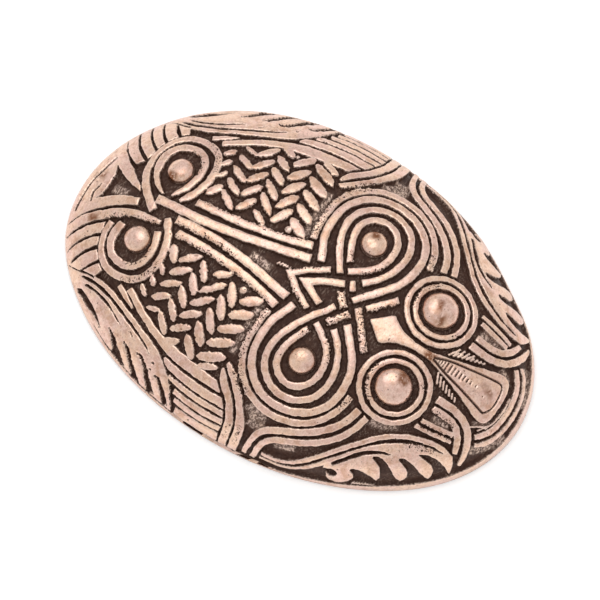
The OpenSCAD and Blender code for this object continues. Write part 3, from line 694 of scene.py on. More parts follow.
def soft_strokes(pairs, singles):
    strokes = empty_chart()
    stamp_all(strokes, pairs)
    stamp_all(strokes, singles, both_sides=False)
    return ease(np.clip((strokes + SOFT_OUTSIDE) / SOFT_BORDER, 0, 1))


pitted = soft_strokes(PITTED_PAIRS, PITTED_MIDDLE)
stains_and_reflections = soft_strokes([], STAINS_AND_BOSS_REFLECTIONS)
rough = soft_strokes(ROUGH_PAIRS, ROUGH_SINGLES)
panels = empty_chart()
stamp_plates(panels, [BRAID_PANEL, WING_PANEL])
frayed = np.maximum(pitted, PANEL_FRAY * ease(np.clip(panels + PANEL_OUTSIDE, 0, 1)))
waves = BROAD_WAVES * cloud(1.1, 1) + FINE_WAVES * cloud(0.45, 2)
edge += waves + frayed * FRAYED_WAVES * cloud(0.35, 3)
print("Share that is pitted:", round(float((pitted > 0.5).mean()), 3))

# %% [markdown]
# ## Lines and strokes
#
# Two more tools were used on the master: a scriber, which cuts a fine line into a band, and short
# rows of ticks, some cut into the metal and some left standing on the ground.

# %% Scribed lines
SCRIBED = [
    (0.45, [[31.7, 0.15], [35, 1.4], [40, 2.5], [45, 3.6], [47.4, 4], [48.3, 3.4]]),
    (0.45, [[48.3, 3.4], [48.8, 1.6], [48.8, -1.6], [48.2, -3]]),
    (0.5, [[31.7, -0.15], [35, -1.3], [40, -2.4], [45, -3.5], [47.3, -3.9], [48.2, -3]]),
    (0.8, [[-51.2, -0.8, 0.4], [-51.4, -1.8], [-52, -3.1], [-51.7, -4.2], [-51, -5.5, 0.5]]),
    (1.2, [[-52.7, 6.4, 0.8], [-53.5, 3.7], [-54.2, 1.4], [-55.1, -0.8], [-55.3, -4.7],
           [-55.1, -9, 1.5]]),
]
SCRIBED_PAIRS = [(0.3, [[-27, 26.2], [-26.6, 26.5], [-26, 27]])]
FINE_RIDGES = [
    (0.35, [[50.3, -6.6], [51.5, -3.4], [51.9, 0], [51.6, 3]]),
    (0.3, [[48.8, -8], [50.6, -5.4]]),
]
print("Scribed lines:", len(SCRIBED + 2 * SCRIBED_PAIRS), "fine ridges:", len(FINE_RIDGES))

# %% Ticks, pellets and holes
# first and last centre (along, across), how many, slant, first and last length, width
CUT_TICKS = [
    (32.5, 0, 34.2, 0, 4, 84, 0.8, 1.7, 0.25),
    (34.9, 0, 41.2, 0, 8, 88, 2.3, 0.8, 0.3),
    (42.6, 0.1, 45.2, -0.9, 2, 88, 0.6, 0.3, 0.25),
]
RAISED_TICKS = [
    (34.4, 3.1, 41.5, 5.4, 9, 60, 1.7, 0.8, 0.42),
    (35.2, 4.3, 38.6, 5.2, 4, 64, 1.4, 1, 0.4),
    (34.6, -3.2, 40.2, -5.1, 7, -66, 2.6, 1.1, 0.38),
    (47, -7.9, 50, -6.1, 5, 40, 1, 0.8, 0.32),
    (32.2, -33.8, 36.4, -32, 8, 60, 0.9, 0.9, 0.24),
    (32.2, 33.8, 36.4, 32, 8, -60, 0.9, 0.9, 0.24),
    (-6, 0.6, -3.4, 0.9, 5, 60, 0.9, 0.7, 0.33),
]
# along, across, radius of small pellets that stand by themselves
PELLETS = [(-9.4, -7.9, 0.75), (-8.1, 7.8, 0.7), (-15.2, 17, 0.4), (-15.3, 23.5, 0.4),
           (-15.2, -17, 0.35)]
# and of small round holes
HOLES = [(-19.3, -30, 0.35), (-19.5, -31.7, 0.3), (-19.3, 30, 0.3), (48.4, -9.2, 0.25)]
print("Ticks:", sum(row[4] for row in CUT_TICKS + RAISED_TICKS))

# %% Two charts, one for what is cut in and one for what stands up
STANDING_WAVES = 0.05  # how far the edges of ticks and pellets wander


def ticks(rows):
    """Short straight strokes set out between two places."""
    for u0, v0, u1, v1, count, slant, long0, long1, width in rows:
        for i in range(count):
            f = i / (count - 1)
            angle, half = math.radians(slant), (long0 + (long1 - long0) * f) / 2
            centre = np.array([u0 + (u1 - u0) * f, v0 + (v1 - v0) * f])
            reach = half * np.array([math.cos(angle), math.sin(angle)])
            yield width, [centre - reach, centre + reach]


cut = empty_chart()
stamp_all(cut, SCRIBED, both_sides=False)
stamp_all(cut, SCRIBED_PAIRS)
stamp_all(cut, ticks(CUT_TICKS), both_sides=False, line=knots_of)
standing = empty_chart()
stamp_all(standing, FINE_RIDGES, both_sides=False)
stamp_all(standing, ticks(RAISED_TICKS), both_sides=False, line=knots_of)
for rows, chart in ((PELLETS, standing), (HOLES, cut)):
    for u, v, radius in rows:
        inside = np.maximum(radius - np.hypot(chart_u - u, chart_v - v), -REACH)
        np.maximum(chart, inside, out=chart)
standing += STANDING_WAVES * cloud(0.4, 4)
print("Cells cut in:", int((cut > 0).sum()), "and standing:", int((standing > 0).sum()))

# %% [markdown]
# ## The plain lip
#
# The pattern doesn't run out to the rim: the casting ends in a plain lip, trimmed by eye, so its
# width changes on the way round. The lip is written as a few places round the rim and is filled
# in between. Beyond them every cell of the chart lies inside a band.

# %% The lip's width
# Degrees round from the head, and the share of the way to the rim where the plain lip starts.
LIP_STARTS = [(0, 0.98), (11, 0.977), (23, 0.968), (32, 0.978), (45, 0.984), (75, 0.983),
              (86, 0.966), (128, 0.967), (145, 0.985), (215, 0.985), (232, 0.967),
              (248, 0.968), (256, 0.984), (272, 0.984), (278, 0.981), (286, 0.98),
              (303, 0.978), (312, 0.976), (321, 0.98), (328, 0.984), (340, 0.989),
              (350, 0.986), (360, 0.98)]
LIP_WAVES = 0.05  # how far the lip's edge wanders

share_out = np.hypot(chart_u / CHART_LONG, chart_v / CHART_SIDE)
local_radius = np.hypot(chart_u, chart_v) / np.maximum(share_out, 1e-6)
bearing = np.degrees(np.arctan2(chart_v / CHART_SIDE, chart_u / CHART_LONG)) % 360
lip_start = np.interp(bearing, *zip(*LIP_STARTS))
lip = np.clip((share_out - lip_start) * local_radius, -REACH, REACH)
edge = np.maximum(edge, lip + LIP_WAVES * cloud(1.1, 8))
print("The lip starts", lip_start.min().round(3), "to", lip_start.max().round(3), "of the way out")

# %% [markdown]
# ## Heights
#
# Now the distances become heights, as shares of the relief. Ticks and pellets stand nearly as
# high as the bands, rough ground only a little above the rest, and a scribed line goes halfway
# down into the band that it crosses.

# %% Heights from distances
FOOT = -0.25  # a band's wall starts this far outside its edge, where inside is less than nothing
TOP = 0.0  # and ends here
EDGE_SHARE = 0.93  # height at the band's edge, as a share of the relief
CREST = 0.7  # the top goes on rising for this far in from the edge
ROUGH_HEIGHT = 0.16
STANDING_HEIGHT = 0.88
CUT_DEPTH = 0.5
CUT_SLOPE = 0.3  # width of the slope from a band's top down into a cut


def wall(inside):
    return ease(np.clip((inside - FOOT) / (TOP - FOOT), 0, 1))


def profile(inside):
    top = np.clip((inside - TOP) / CREST, 0, 1)
    return EDGE_SHARE * wall(inside) + (1 - EDGE_SHARE) * (1 - (1 - top) ** 2)


height = profile(edge)
height = np.maximum(height, rough * (ROUGH_HEIGHT + ROUGH_HEIGHT * cloud(0.4, 9)))
height = np.maximum(height, STANDING_HEIGHT * wall(standing))
height *= 1 - CUT_DEPTH * ease(np.clip((cut + CUT_SLOPE / 2) / CUT_SLOPE, 0, 1))
edge = np.maximum(edge, standing)
edge = np.minimum(edge, np.maximum(-cut, -REACH))
print("Share of the face that stands up:", round(float((height[share_out < 1] > 0.5).mean()), 2))

# %% [markdown]
# ## Bosses
#
# The bosses are the highest places, so they were rubbed the most. A power of the distance from
# the middle gives each a full, rather flat dome, and a little of a random chart keeps it from
# being a perfect circle. The last step bends the whole face a little, as no casting is quite even.

# %% Bosses
BOSS_FULLNESS, BOSS_BLUNTNESS = 2.3, 0.42
BOSS_WAVES = 0.015
BROAD_DENTS, SMALL_DENTS = 0.02, 0.012

for u0, v0, radius, share in BOSSES:
    for side in (-1, 1):
        off = np.hypot(chart_u - u0, chart_v - side * v0) / radius
        off = np.maximum(off + BOSS_WAVES * cloud(0.8, 5), 0)
        dome = np.clip(1 - off**BOSS_FULLNESS, 0, 1) ** BOSS_BLUNTNESS
        height = np.maximum(height, dome * (1 + share * BOSS_HEIGHT / RELIEF))
        edge = np.maximum(edge, np.maximum((1 - off) * radius * 2, -REACH))
height += BROAD_DENTS * cloud(2.2, 6) + SMALL_DENTS * cloud(0.9, 7)
print("Heights from", height.min().round(2), "to", height.max().round(2), "times the relief")

# %% Read a chart at any place
def look_up(field, u, v):
    """A chart's values at any chart points, by straight interpolation."""
    x = np.clip((u - along_axis[0]) / CELL, 0, len(along_axis) - 1.001)
    y = np.clip((v - across_axis[0]) / CELL, 0, len(across_axis) - 1.001)
    i, j = x.astype(int), y.astype(int)
    fx, fy = x - i, y - j
    low = field[j, i] * (1 - fx) + field[j, i + 1] * fx
    high = field[j + 1, i] * (1 - fx) + field[j + 1, i + 1] * fx
    return low * (1 - fy) + high * fy


print("Height at the crown:", look_up(height, np.zeros(1), np.zeros(1))[0].round(2))

# %% [markdown]
# ## One closed skin
#
# The face is a square net of points drawn out to a disc, which has no crowded middle as a fan of
# spokes would have. From its border the skin runs down the edge of the rim, across the foot, up
# the inner side and over the hollow to one last point under the crown.

# %% The face's net
NET = 700


def disc_net(n):
    """A square net of places, each square of it drawn out to a circle."""
    a, b = np.meshgrid(np.linspace(-1, 1, n), np.linspace(-1, 1, n))
    wide = np.abs(a) > np.abs(b)
    r = np.where(wide, a, b)
    with np.errstate(divide="ignore", invalid="ignore"):
        angle = np.where(wide, math.pi / 4 * b / a, math.pi / 2 - math.pi / 4 * a / b)
    angle = np.nan_to_num(angle)
    return r * np.cos(angle), r * np.sin(angle)


net_x, net_y = disc_net(NET)
net_u, net_v = net_x.ravel() * CHART_LONG, net_y.ravel() * CHART_SIDE
net_height = look_up(height, net_u, net_v)
face_points = at(net_u, net_v, (net_height - 1) * RELIEF)
print("Points of the face:", len(face_points), "up to", face_points[:, 2].max().round(2), "mm")

# %% [markdown]
# The underside is plain, as it lay on the clothes and was never seen. Its rings all have as many
# points as the face's border, so the faces between them are simple to write.

# %% The rim, the foot and the hollow
INSET = RELIEF + WALL
cells = np.arange(NET * NET).reshape(NET, NET)
border = np.concatenate([cells[0, :-1], cells[:-1, -1], cells[-1, :0:-1], cells[:0:-1, 0]])
border_u, border_v = net_u[border], net_v[border]
edge_plan = plan(border_u, border_v)

# inset from the outline, and height: down the edge, across the foot and up inside
RIM_SECTION = [(0, 0.9), (0, 0.45), (0.08, 0.15), (0.3, 0.0), (1.3, 0.0), (2.25, 0.0), (2.5, 0.12),
               (INSET, 0.45), (INSET, 0.9)]
# how far out the rings of the hollow lie, as shares of the way to the rim
HOLLOW_SHARES = [1, 0.985, 0.965, 0.94, 0.91, 0.87, 0.82, 0.76, 0.69, 0.61, 0.52, 0.42, 0.31,
                 0.2, 0.1]

rings = []
for inset, z in RIM_SECTION:
    ring = on_dome(*edge_plan, inset)
    ring[:, 2] = z
    rings.append(ring)
for share in HOLLOW_SHARES:
    rings.append(on_dome(*plan(border_u * share, border_v * share), INSET))
last_point = on_dome(np.zeros(1), np.zeros(1), INSET)
points = np.vstack([face_points, *rings, last_point])
print("Rings behind the face:", len(rings), "of", len(border), "points")

# %% The faces that join them
quad = np.stack([cells[:-1, :-1], cells[:-1, 1:], cells[1:, 1:], cells[1:, :-1]], -1)
quad = quad.reshape(-1, 4)
round_the_rim = len(border)
one_ring = NET * NET + np.arange(round_the_rim)
ring_ids = [border] + [one_ring + i * round_the_rim for i in range(len(rings))]
for upper, lower in zip(ring_ids[:-1], ring_ids[1:]):
    strip = np.stack([upper, lower, np.roll(lower, -1), np.roll(upper, -1)], -1)
    quad = np.vstack([quad, strip])
tip = len(points) - 1
fan = np.stack([ring_ids[-1], np.full(round_the_rim, tip), np.roll(ring_ids[-1], -1)], -1)
print("Points:", len(points), "quads:", len(quad))

# %% The mesh
def mesh_from(name, points, quads, triangles):
    """A mesh from whole arrays, which is much quicker than point by point."""
    mesh = bpy.data.meshes.new(name)
    mesh.vertices.add(len(points))
    mesh.vertices.foreach_set("co", (points * MM).astype(np.float32).ravel())
    corners = np.concatenate([quads.ravel(), triangles.ravel()])
    fours, threes = np.arange(len(quads)) * 4, np.arange(len(triangles)) * 3
    starts = np.concatenate([fours, len(quads) * 4 + threes])
    mesh.loops.add(len(corners))
    mesh.loops.foreach_set("vertex_index", corners.astype(np.int32))
    mesh.polygons.add(len(starts))
    mesh.polygons.foreach_set("loop_start", starts.astype(np.int32))
    mesh.update(calc_edges=True)
    mesh.validate()
    return mesh


skin = mesh_from("shell_skin", points, quad, fan)
print("Faces of the skin:", len(skin.polygons))

# %% Numbers that the materials will read
RIM_SHADE_EDGE = -0.3  # an edge distance that darkens the lower outer side of the rim, a painted shade along its edge
surface_charts = {"pitted": pitted, "frayed": frayed, "stains_and_reflections": stains_and_reflections, "rough": rough}


def give(mesh, name, numbers):
    """One number for each point of a mesh, under a name that the materials ask for."""
    slots = mesh.attributes.new(name, "FLOAT", "POINT").data
    slots.foreach_set("value", np.broadcast_to(numbers, len(slots)).astype(np.float32))


behind = len(points) - NET * NET
on_rim = len(RIM_SECTION) * round_the_rim
behind_edge = np.ones(behind)
# The two rings low on the rim's outer side get a painted shade.
behind_edge[round_the_rim : 3 * round_the_rim] = RIM_SHADE_EDGE
give(skin, "lift", np.concatenate([net_height, np.ones(behind)]))
give(skin, "edge", np.concatenate([look_up(edge, net_u, net_v), behind_edge]))
for label, chart in surface_charts.items():
    give(skin, label, np.concatenate([look_up(chart, net_u, net_v), np.zeros(behind)]))
give(skin, "inside", np.concatenate([np.zeros(NET * NET + on_rim), np.ones(behind - on_rim)]))
print("Points behind the face:", behind, "of them in the hollow:", behind - on_rim)

shell = bpy.data.objects.new("shell_face", skin)
bpy.context.collection.objects.link(shell)

# %% [markdown]
# ## Fewer triangles
#
# The net is even, but the surface isn't: the tops of the bands need few triangles and their edges
# need many. The Decimate modifier merges points where that changes the surface least.

# %% Merge points where the surface is plain
TRIANGLES = 185_000
made = len(quad) * 2 + len(fan)
thin = shell.modifiers.new("thin", "DECIMATE")
thin.ratio = min(1, TRIANGLES / made)
bpy.context.view_layer.objects.active = shell
with bpy.context.temp_override(object=shell, active_object=shell):
    bpy.ops.object.modifier_apply(modifier="thin")
skin = shell.data
skin.polygons.foreach_set("use_smooth", np.ones(len(skin.polygons), bool))
print("Faces after merging:", len(skin.polygons), "from", made, "triangles")
print("Attributes:", [(a.name, a.domain) for a in skin.attributes])

# %% [markdown]
# ## The pin's fittings
#
# Two lugs with a bore carry the pin's hinge bar at the head end, and a plate with an open hook
# holds its point at the tail end. They were cast with the shell, so each is made as a small solid
# that reaches up into the wall, and is then united with the skin.

# %% Sizes of the fittings
PIN_HEIGHT = 3.4
HINGE_PLACE = 40
LUG_RADIUS, LUG_THICKNESS, LUG_OFF_MIDDLE = 2.4, 1.6, 2.4
BORE_RADIUS = 1.3
CATCH_FROM, CATCH_TO = -43, -37
HOOK_INNER, HOOK_OUTER = 1.3, 2.5
ARC_POINTS = 24
LOOK_PLACES = 400  # places along the wall at which its height is worked out
LOOK_PAST = 1.4  # the search goes on this much past the place that is asked for


def into_wall(x, y):
    """The height of the middle of the wall over a place in the hollow."""
    shares = np.linspace(0, 1, LOOK_PLACES)
    along = shares * abs(x) / HALF_LENGTH * LOOK_PAST
    across = shares * abs(y) / HALF_WIDTH * LOOK_PAST
    middle = on_dome(np.sign(x) * along, across, RELIEF + WALL / 2)
    return float(np.interp(abs(x), np.abs(middle[:, 0]), middle[:, 2]))


print("The wall is", round(into_wall(HINGE_PLACE, LUG_OFF_MIDDLE), 2), "mm up over the hinge")

# %% Solids with one outline at each end
def arc(middle, radius, first, last):
    """Points on part of a circle, its angles in degrees."""
    turn = np.radians(np.linspace(first, last, ARC_POINTS))
    return np.stack([middle[0] + radius * np.cos(turn), middle[1] + radius * np.sin(turn)], 1)


def solid_between(name, first, second):
    """A closed solid that runs from one outline to another."""
    mesh, build = bpy.data.meshes.new(name), bmesh.new()
    ends = [[build.verts.new(p * MM) for p in outline] for outline in (first, second)]
    build.faces.new(ends[0])
    build.faces.new(ends[1][::-1])
    for i in range(len(first)):
        j = (i + 1) % len(first)
        build.faces.new([ends[0][i], ends[1][i], ends[1][j], ends[0][j]])
    bmesh.ops.recalc_face_normals(build, faces=build.faces)
    bmesh.ops.triangulate(build, faces=build.faces)
    build.to_mesh(mesh)
    build.free()
    for label in ("lift", "edge", "inside"):
        give(mesh, label, 1)
    for label in surface_charts:
        give(mesh, label, 0)
    piece = bpy.data.objects.new(name, mesh)
    bpy.context.collection.objects.link(piece)
    return piece


# %% Two lugs, a bore and a catch
def lug(y):
    x0, x1 = HINGE_PLACE - LUG_RADIUS, HINGE_PLACE + LUG_RADIUS
    foot = arc((HINGE_PLACE, PIN_HEIGHT), LUG_RADIUS, 180, 360)
    outline = np.vstack([[x0, into_wall(x0, y)], foot, [x1, into_wall(x1, y)]])
    ends = [np.insert(outline, 1, y + side * LUG_THICKNESS / 2, 1) for side in (-1, 1)]
    return solid_between("lug", *ends)


def catch():
    inner = arc((0, PIN_HEIGHT), HOOK_INNER, -180, 0)
    outer = arc((0, PIN_HEIGHT), HOOK_OUTER, 0, -180)
    ends = []
    for x in (CATCH_FROM, CATCH_TO):
        top = into_wall(x, HOOK_OUTER)
        plate = [[HOOK_INNER, top], [HOOK_OUTER, top]]
        ends.append(np.insert(np.vstack([inner, plate, outer]), 0, x, 1))
    return solid_between("catch", *ends)


def bore():
    circle = arc((HINGE_PLACE, PIN_HEIGHT), BORE_RADIUS, 0, 360 - 360 / ARC_POINTS)
    reach = LUG_OFF_MIDDLE + LUG_THICKNESS
    return solid_between("bore", *[np.insert(circle, 1, y, 1) for y in (-reach, reach)])


def combine(target, piece, how):
    """Unites a piece with the target, or cuts it out, and removes the piece."""
    step = target.modifiers.new("step", "BOOLEAN")
    step.operation, step.object, step.solver = how, piece, "MANIFOLD"
    with bpy.context.temp_override(object=target, active_object=target):
        bpy.ops.object.modifier_apply(modifier="step")
    bpy.data.objects.remove(piece)


for side in (-1, 1):
    combine(shell, lug(side * LUG_OFF_MIDDLE), "UNION")
combine(shell, catch(), "UNION")
combine(shell, bore(), "DIFFERENCE")
skin = shell.data
print("Triangles with the fittings:", sum(len(p.vertices) - 2 for p in skin.polygons))

# %% [markdown]
# ## Metal that has been rubbed
#
# Three things make up the look. The high places are bare bronze, rubbed to a satin shine. The
# ground between them kept its nearly black patina. And the border of the two is ragged, since
# the casting is full of small pits. The pin is of the same metal, so these effects are node
# groups: each is built once, and both materials can use it.

# %% Small helpers for node trees
def add(tree, kind, wires=None, **settings):
    """One shader node, with its settings and with values or links for its inputs."""
    node = tree.nodes.new("ShaderNode" + kind)
    for name, value in settings.items():
        setattr(node, name, value)
    for name, value in (wires or {}).items():
        if isinstance(value, bpy.types.NodeSocket):
            tree.links.new(value, node.inputs[name])
        else:
            node.inputs[name].default_value = value
    return node


def calculate(tree, how, a, b):
    return add(tree, "Math", {0: a, 1: b}, operation=how).outputs[0]


def times(tree, a, b):
    return calculate(tree, "MULTIPLY", a, b)


def blend(tree, share, a, b):
    """A colour between two, at this share of the way."""
    wires = {"Factor": share, 6: a, 7: b}
    return add(tree, "Mix", wires, data_type="RGBA").outputs[2]


def between(tree, value, low, high, to_low=0.0, to_high=1.0):
    """A soft step from one number to another."""
    wires = {"Value": value, "From Min": low, "From Max": high}
    wires |= {"To Min": to_low, "To Max": to_high}
    return add(tree, "MapRange", wires, interpolation_type="SMOOTHSTEP").outputs["Result"]



# %% Noise with spots of a known size
EVEN = (1, 1, 1)
DRAWN_OUT = (1, 0.5, 1)  # spots twice as long across the brooch as along it


def speckle(tree, size, detail, roughness, stretch=EVEN):
    """Noise in the object's own space, with spots about this many millimetres wide."""
    space = add(tree, "TexCoord").outputs["Object"]
    if stretch != EVEN:
        space = add(tree, "Mapping", {"Vector": space, "Scale": stretch}).outputs["Vector"]
    wires = {"Vector": space, "Scale": 1 / (size * MM), "Detail": detail, "Roughness": roughness}
    return add(tree, "TexNoise", wires).outputs["Fac"]


# %% Node groups
def new_group(name, inputs, outputs):
    """An empty node group with named inputs (label, kind, value) and outputs (label, kind)."""
    tree = bpy.data.node_groups.new(name, "ShaderNodeTree")
    for label, kind, value in inputs:
        socket = tree.interface.new_socket(label, in_out="INPUT", socket_type="NodeSocket" + kind)
        socket.default_value = value
    for label, kind in outputs:
        tree.interface.new_socket(label, in_out="OUTPUT", socket_type="NodeSocket" + kind)
    given, result = tree.nodes.new("NodeGroupInput"), tree.nodes.new("NodeGroupOutput")
    return tree, given.outputs, result.inputs


def use(tree, group, wires=None):
    """One use of a node group inside another tree."""
    return add(tree, "Group", wires, node_tree=group).outputs


# %% Colours of the bronze
BARE = (0.78, 0.525, 0.385, 1)
BARE_PINK = (0.75, 0.495, 0.415, 1)
BARE_PALE = (0.90, 0.73, 0.62, 1)
TARNISH = (0.46, 0.24, 0.14, 1)
# brown of the stains, and of the painted reflections on the two large bosses
STAIN_AND_REFLECTION_BROWN = (0.22, 0.09, 0.045, 1)
SPECK = (0.36, 0.21, 0.15, 1)
PATINA = (0.038, 0.012, 0.0055, 1)
PATINA_LIGHT = (0.1, 0.046, 0.028, 1)
# pale specks in the patina: partly dust, partly a painted sheen
DUST_AND_SHEEN = (0.21, 0.145, 0.112, 1)
HOLLOW = (0.085, 0.055, 0.04, 1)
print("Bare bronze is", round(BARE[0] / PATINA[0]), "times as bright in red as its patina")

# %% [markdown]
# A place is bare when it is high and lies inside an edge. Noise moves that edge to and fro, and
# moves it more where the metal is frayed. Rough ground is half bare, in streaks.

# %% Where the metal is bare
rubbed, given, result = new_group(
    "rubbed_places",
    [("Lift", "Float", 1.0), ("Edge", "Float", 1.0),
     ("Frayed", "Float", 0.0), ("Rough", "Float", 0.0)],
    [("Bare", "Float"), ("EdgeWearAndHighlight", "Float")],
)
grain = calculate(rubbed, "SUBTRACT", speckle(rubbed, 0.36, 4, 0.65), 0.5)
spread = between(rubbed, given["Frayed"], 0, 1, 0.4, 1.1)
moved = calculate(rubbed, "ADD", given["Edge"], times(rubbed, grain, spread))
by_edge = between(rubbed, moved, -0.1, 0.08)
by_height = between(rubbed, given["Lift"], 0.35, 0.65)
streaks = between(rubbed, speckle(rubbed, 0.4, 4, 0.7, DRAWN_OUT), 0.44, 0.60, 0.08, 0.75)
half_bare = times(rubbed, given["Rough"], streaks)
bare_share = calculate(rubbed, "MAXIMUM", times(rubbed, by_edge, by_height), half_bare)
rubbed.links.new(bare_share, result["Bare"])
# A thin strip just inside each edge, which the material makes paler: partly the most rubbed metal,
# partly a painted highlight along the edge.
rubbed.links.new(between(rubbed, moved, 0.3, 0.0), result["EdgeWearAndHighlight"])
print("Nodes that find the bare places:", len(rubbed.nodes))

# %% [markdown]
# Pits come from two sizes of noise: where either passes a level, there is a hole. The level sinks
# as the amount of pitting rises, so more of the noise passes it.

# %% Pits
pits, given, result = new_group("pits", [("Amount", "Float", 0.5)], [("Pit", "Float")])
fine = speckle(pits, 0.24, 1, 0.4)
coarse = speckle(pits, 0.5, 1, 0.4)
level = between(pits, given["Amount"], 0, 1, 0.76, 0.59)
deep = calculate(pits, "SUBTRACT", calculate(pits, "MAXIMUM", fine, coarse), level)
pits.links.new(between(pits, deep, 0, 0.05), result["Pit"])
print("Nodes that make the pits:", len(pits.nodes))

# %% [markdown]
# Rubbed bronze isn't one colour. It changes from pink to yellow over a finger's width, is paler
# in small clouds, and keeps brown tarnish in patches. Each of these is one noise and one blend.

# %% Bare bronze, from pink to pale
bare, given, result = new_group("bare_bronze", [("Paler", "Float", 0.3)], [("Color", "Color")])
broad = between(bare, speckle(bare, 7, 5, 0.65), 0.42, 0.58)
mottle = between(bare, speckle(bare, 0.9, 4, 0.6), 0.38, 0.62)
fine = between(bare, speckle(bare, 0.3, 3, 0.6, DRAWN_OUT), 0.60, 0.36)
specks = between(bare, speckle(bare, 1.1, 4, 0.7), 0.55, 0.63)
tarnished = between(bare, speckle(bare, 3.2, 5, 0.7), 0.5, 0.66)
colour = blend(bare, broad, BARE_PINK, BARE)
colour = blend(bare, times(bare, mottle, given["Paler"]), colour, BARE_PALE)
colour = blend(bare, times(bare, tarnished, 0.55), colour, TARNISH)
colour = blend(bare, times(bare, fine, 0.28), colour, SPECK)
colour = blend(bare, times(bare, specks, 0.36), colour, SPECK)
bare.links.new(colour, result["Color"])
print("Nodes that colour the bare metal:", len(bare.nodes))

# %% [markdown]
# The patina is nearly black, with brown clouds. Pale fine specks lie in it, thicker in some
# places than in others: partly settled dust, partly a painted sheen on the ground.

# %% Dark patina
dark, given, result = new_group("dark_patina", [("Lighter", "Float", 0.5)], [("Color", "Color")])
cloudy = between(dark, speckle(dark, 1.1, 5, 0.7), 0.40, 0.68)
dust_and_sheen = between(dark, speckle(dark, 0.34, 4, 0.65, DRAWN_OUT), 0.50, 0.66)
dust_and_sheen_amount = between(dark, speckle(dark, 3.5, 2, 0.5), 0.42, 0.6, 0.3, 1.6)
dust_and_sheen = times(dark, dust_and_sheen, dust_and_sheen_amount)
colour = blend(dark, times(dark, cloudy, given["Lighter"]), PATINA, PATINA_LIGHT)
colour = blend(dark, times(dark, dust_and_sheen, given["Lighter"]), colour, DUST_AND_SHEEN)
dark.links.new(colour, result["Color"])
print("Nodes that colour the patina:", len(dark.nodes))

# %% [markdown]
# Cast metal has a fine grain and shallow dents, far too small to model. A Bump node tilts the
# surface's normals as if they were there, and sinks the pits as well.

# %% The grain of the casting
GRAIN_DEPTH = 0.025
DENTS_TO_GRAIN = 3  # how much deeper the dents are than the grain

cast, given, result = new_group("cast_grain", [("Pit", "Float", 0.0)], [("Normal", "Vector")])
dents = times(cast, speckle(cast, 1.6, 2, 0.5), DENTS_TO_GRAIN)
heights = calculate(cast, "SUBTRACT", speckle(cast, 0.45, 6, 0.6), given["Pit"])
heights = calculate(cast, "ADD", heights, dents)
bumps = add(cast, "Bump", {"Height": heights, "Distance": GRAIN_DEPTH * MM, "Strength": 0.8})
cast.links.new(bumps.outputs["Normal"], result["Normal"])
print("Node groups:", [g.name for g in bpy.data.node_groups])

# %% [markdown]
# ## The shell's material
#
# One mask, shine, says where bare metal shows: high places that aren't pits and aren't in the
# hollow. It mixes the patina's colour with the metal's, and it also drives the sockets for metal
# and roughness, since patina is a dull crust and not a metal.

# %% The shell's material
def reading(tree, name):
    """A number that the mesh carries for each point."""
    return add(tree, "Attribute", attribute_name=name).outputs["Fac"]


bronze = bpy.data.materials.new("cast_bronze")
bronze.use_nodes = True
tree = bronze.node_tree
surface = tree.nodes["Principled BSDF"]
worn = use(tree, rubbed, {"Lift": reading(tree, "lift"), "Edge": reading(tree, "edge"),
                          "Frayed": reading(tree, "frayed"), "Rough": reading(tree, "rough")})
pit = use(tree, pits, {"Amount": between(tree, reading(tree, "pitted"), 0, 1, 0.25, 0.95)})["Pit"]
face = calculate(tree, "SUBTRACT", 1, reading(tree, "inside"))
shine = times(tree, worn["Bare"], calculate(tree, "SUBTRACT", 1, pit))
shine = times(tree, shine, face)
# Brown stains where the patina was rubbed thin, and a painted reflection on the large bosses.
blotches = between(tree, speckle(tree, 0.8, 4, 0.65), 0.30, 0.46)
stain_and_reflection = times(tree, reading(tree, "stains_and_reflections"), blotches)
# Paler along the band edges: partly rubbed metal, partly a painted highlight.
metal = blend(tree, times(tree, worn["EdgeWearAndHighlight"], 0.4), use(tree, bare)["Color"], BARE_PALE)
metal = blend(tree, stain_and_reflection, metal, STAIN_AND_REFLECTION_BROWN)
ground = blend(tree, reading(tree, "inside"), use(tree, dark)["Color"], HOLLOW)
tree.links.new(blend(tree, shine, ground, metal), surface.inputs["Base Color"])
tree.links.new(between(tree, shine, 0, 1, 0.15, 1), surface.inputs["Metallic"])
tree.links.new(between(tree, shine, 0, 1, 0.6, 0.32), surface.inputs["Roughness"])
surface.inputs["Specular IOR Level"].default_value = 0.28
tree.links.new(use(tree, cast, {"Pit": pit})["Normal"], surface.inputs["Normal"])
skin.materials.clear()
skin.materials.append(bronze)
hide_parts("shell")
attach(shell, "root")
print("Nodes of the shell's material:", len(tree.nodes))

# %% [markdown]
# ## The pin's material
#
# The pin comes with the frame, so its mesh stays as it is and only its material changes. It is of
# the same bronze, tarnished in clouds. The same node groups make it, but it carries no numbers of
# its own, so noise takes the place of the masks.

# %% The pin's material
worn_pin = bpy.data.materials.new("worn_pin")
worn_pin.use_nodes = True
tree = worn_pin.node_tree
surface = tree.nodes["Principled BSDF"]
pit = use(tree, pits, {"Amount": 0.6})["Pit"]
shine = between(tree, speckle(tree, 1.6, 4, 0.6), 0.36, 0.6, 0.3, 0.95)
shine = times(tree, shine, calculate(tree, "SUBTRACT", 1, pit))
metal = use(tree, bare, {"Paler": 0.0})["Color"]
colour = blend(tree, shine, use(tree, dark)["Color"], metal)
tree.links.new(colour, surface.inputs["Base Color"])
tree.links.new(between(tree, shine, 0, 1, 0.4, 1), surface.inputs["Metallic"])
tree.links.new(between(tree, shine, 0, 1, 0.6, 0.4), surface.inputs["Roughness"])
tree.links.new(use(tree, cast, {"Pit": pit})["Normal"], surface.inputs["Normal"])
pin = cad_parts["pin"]
for slot in pin.material_slots:
    slot.material = worn_pin
print("Material slots of the pin:", len(pin.material_slots))

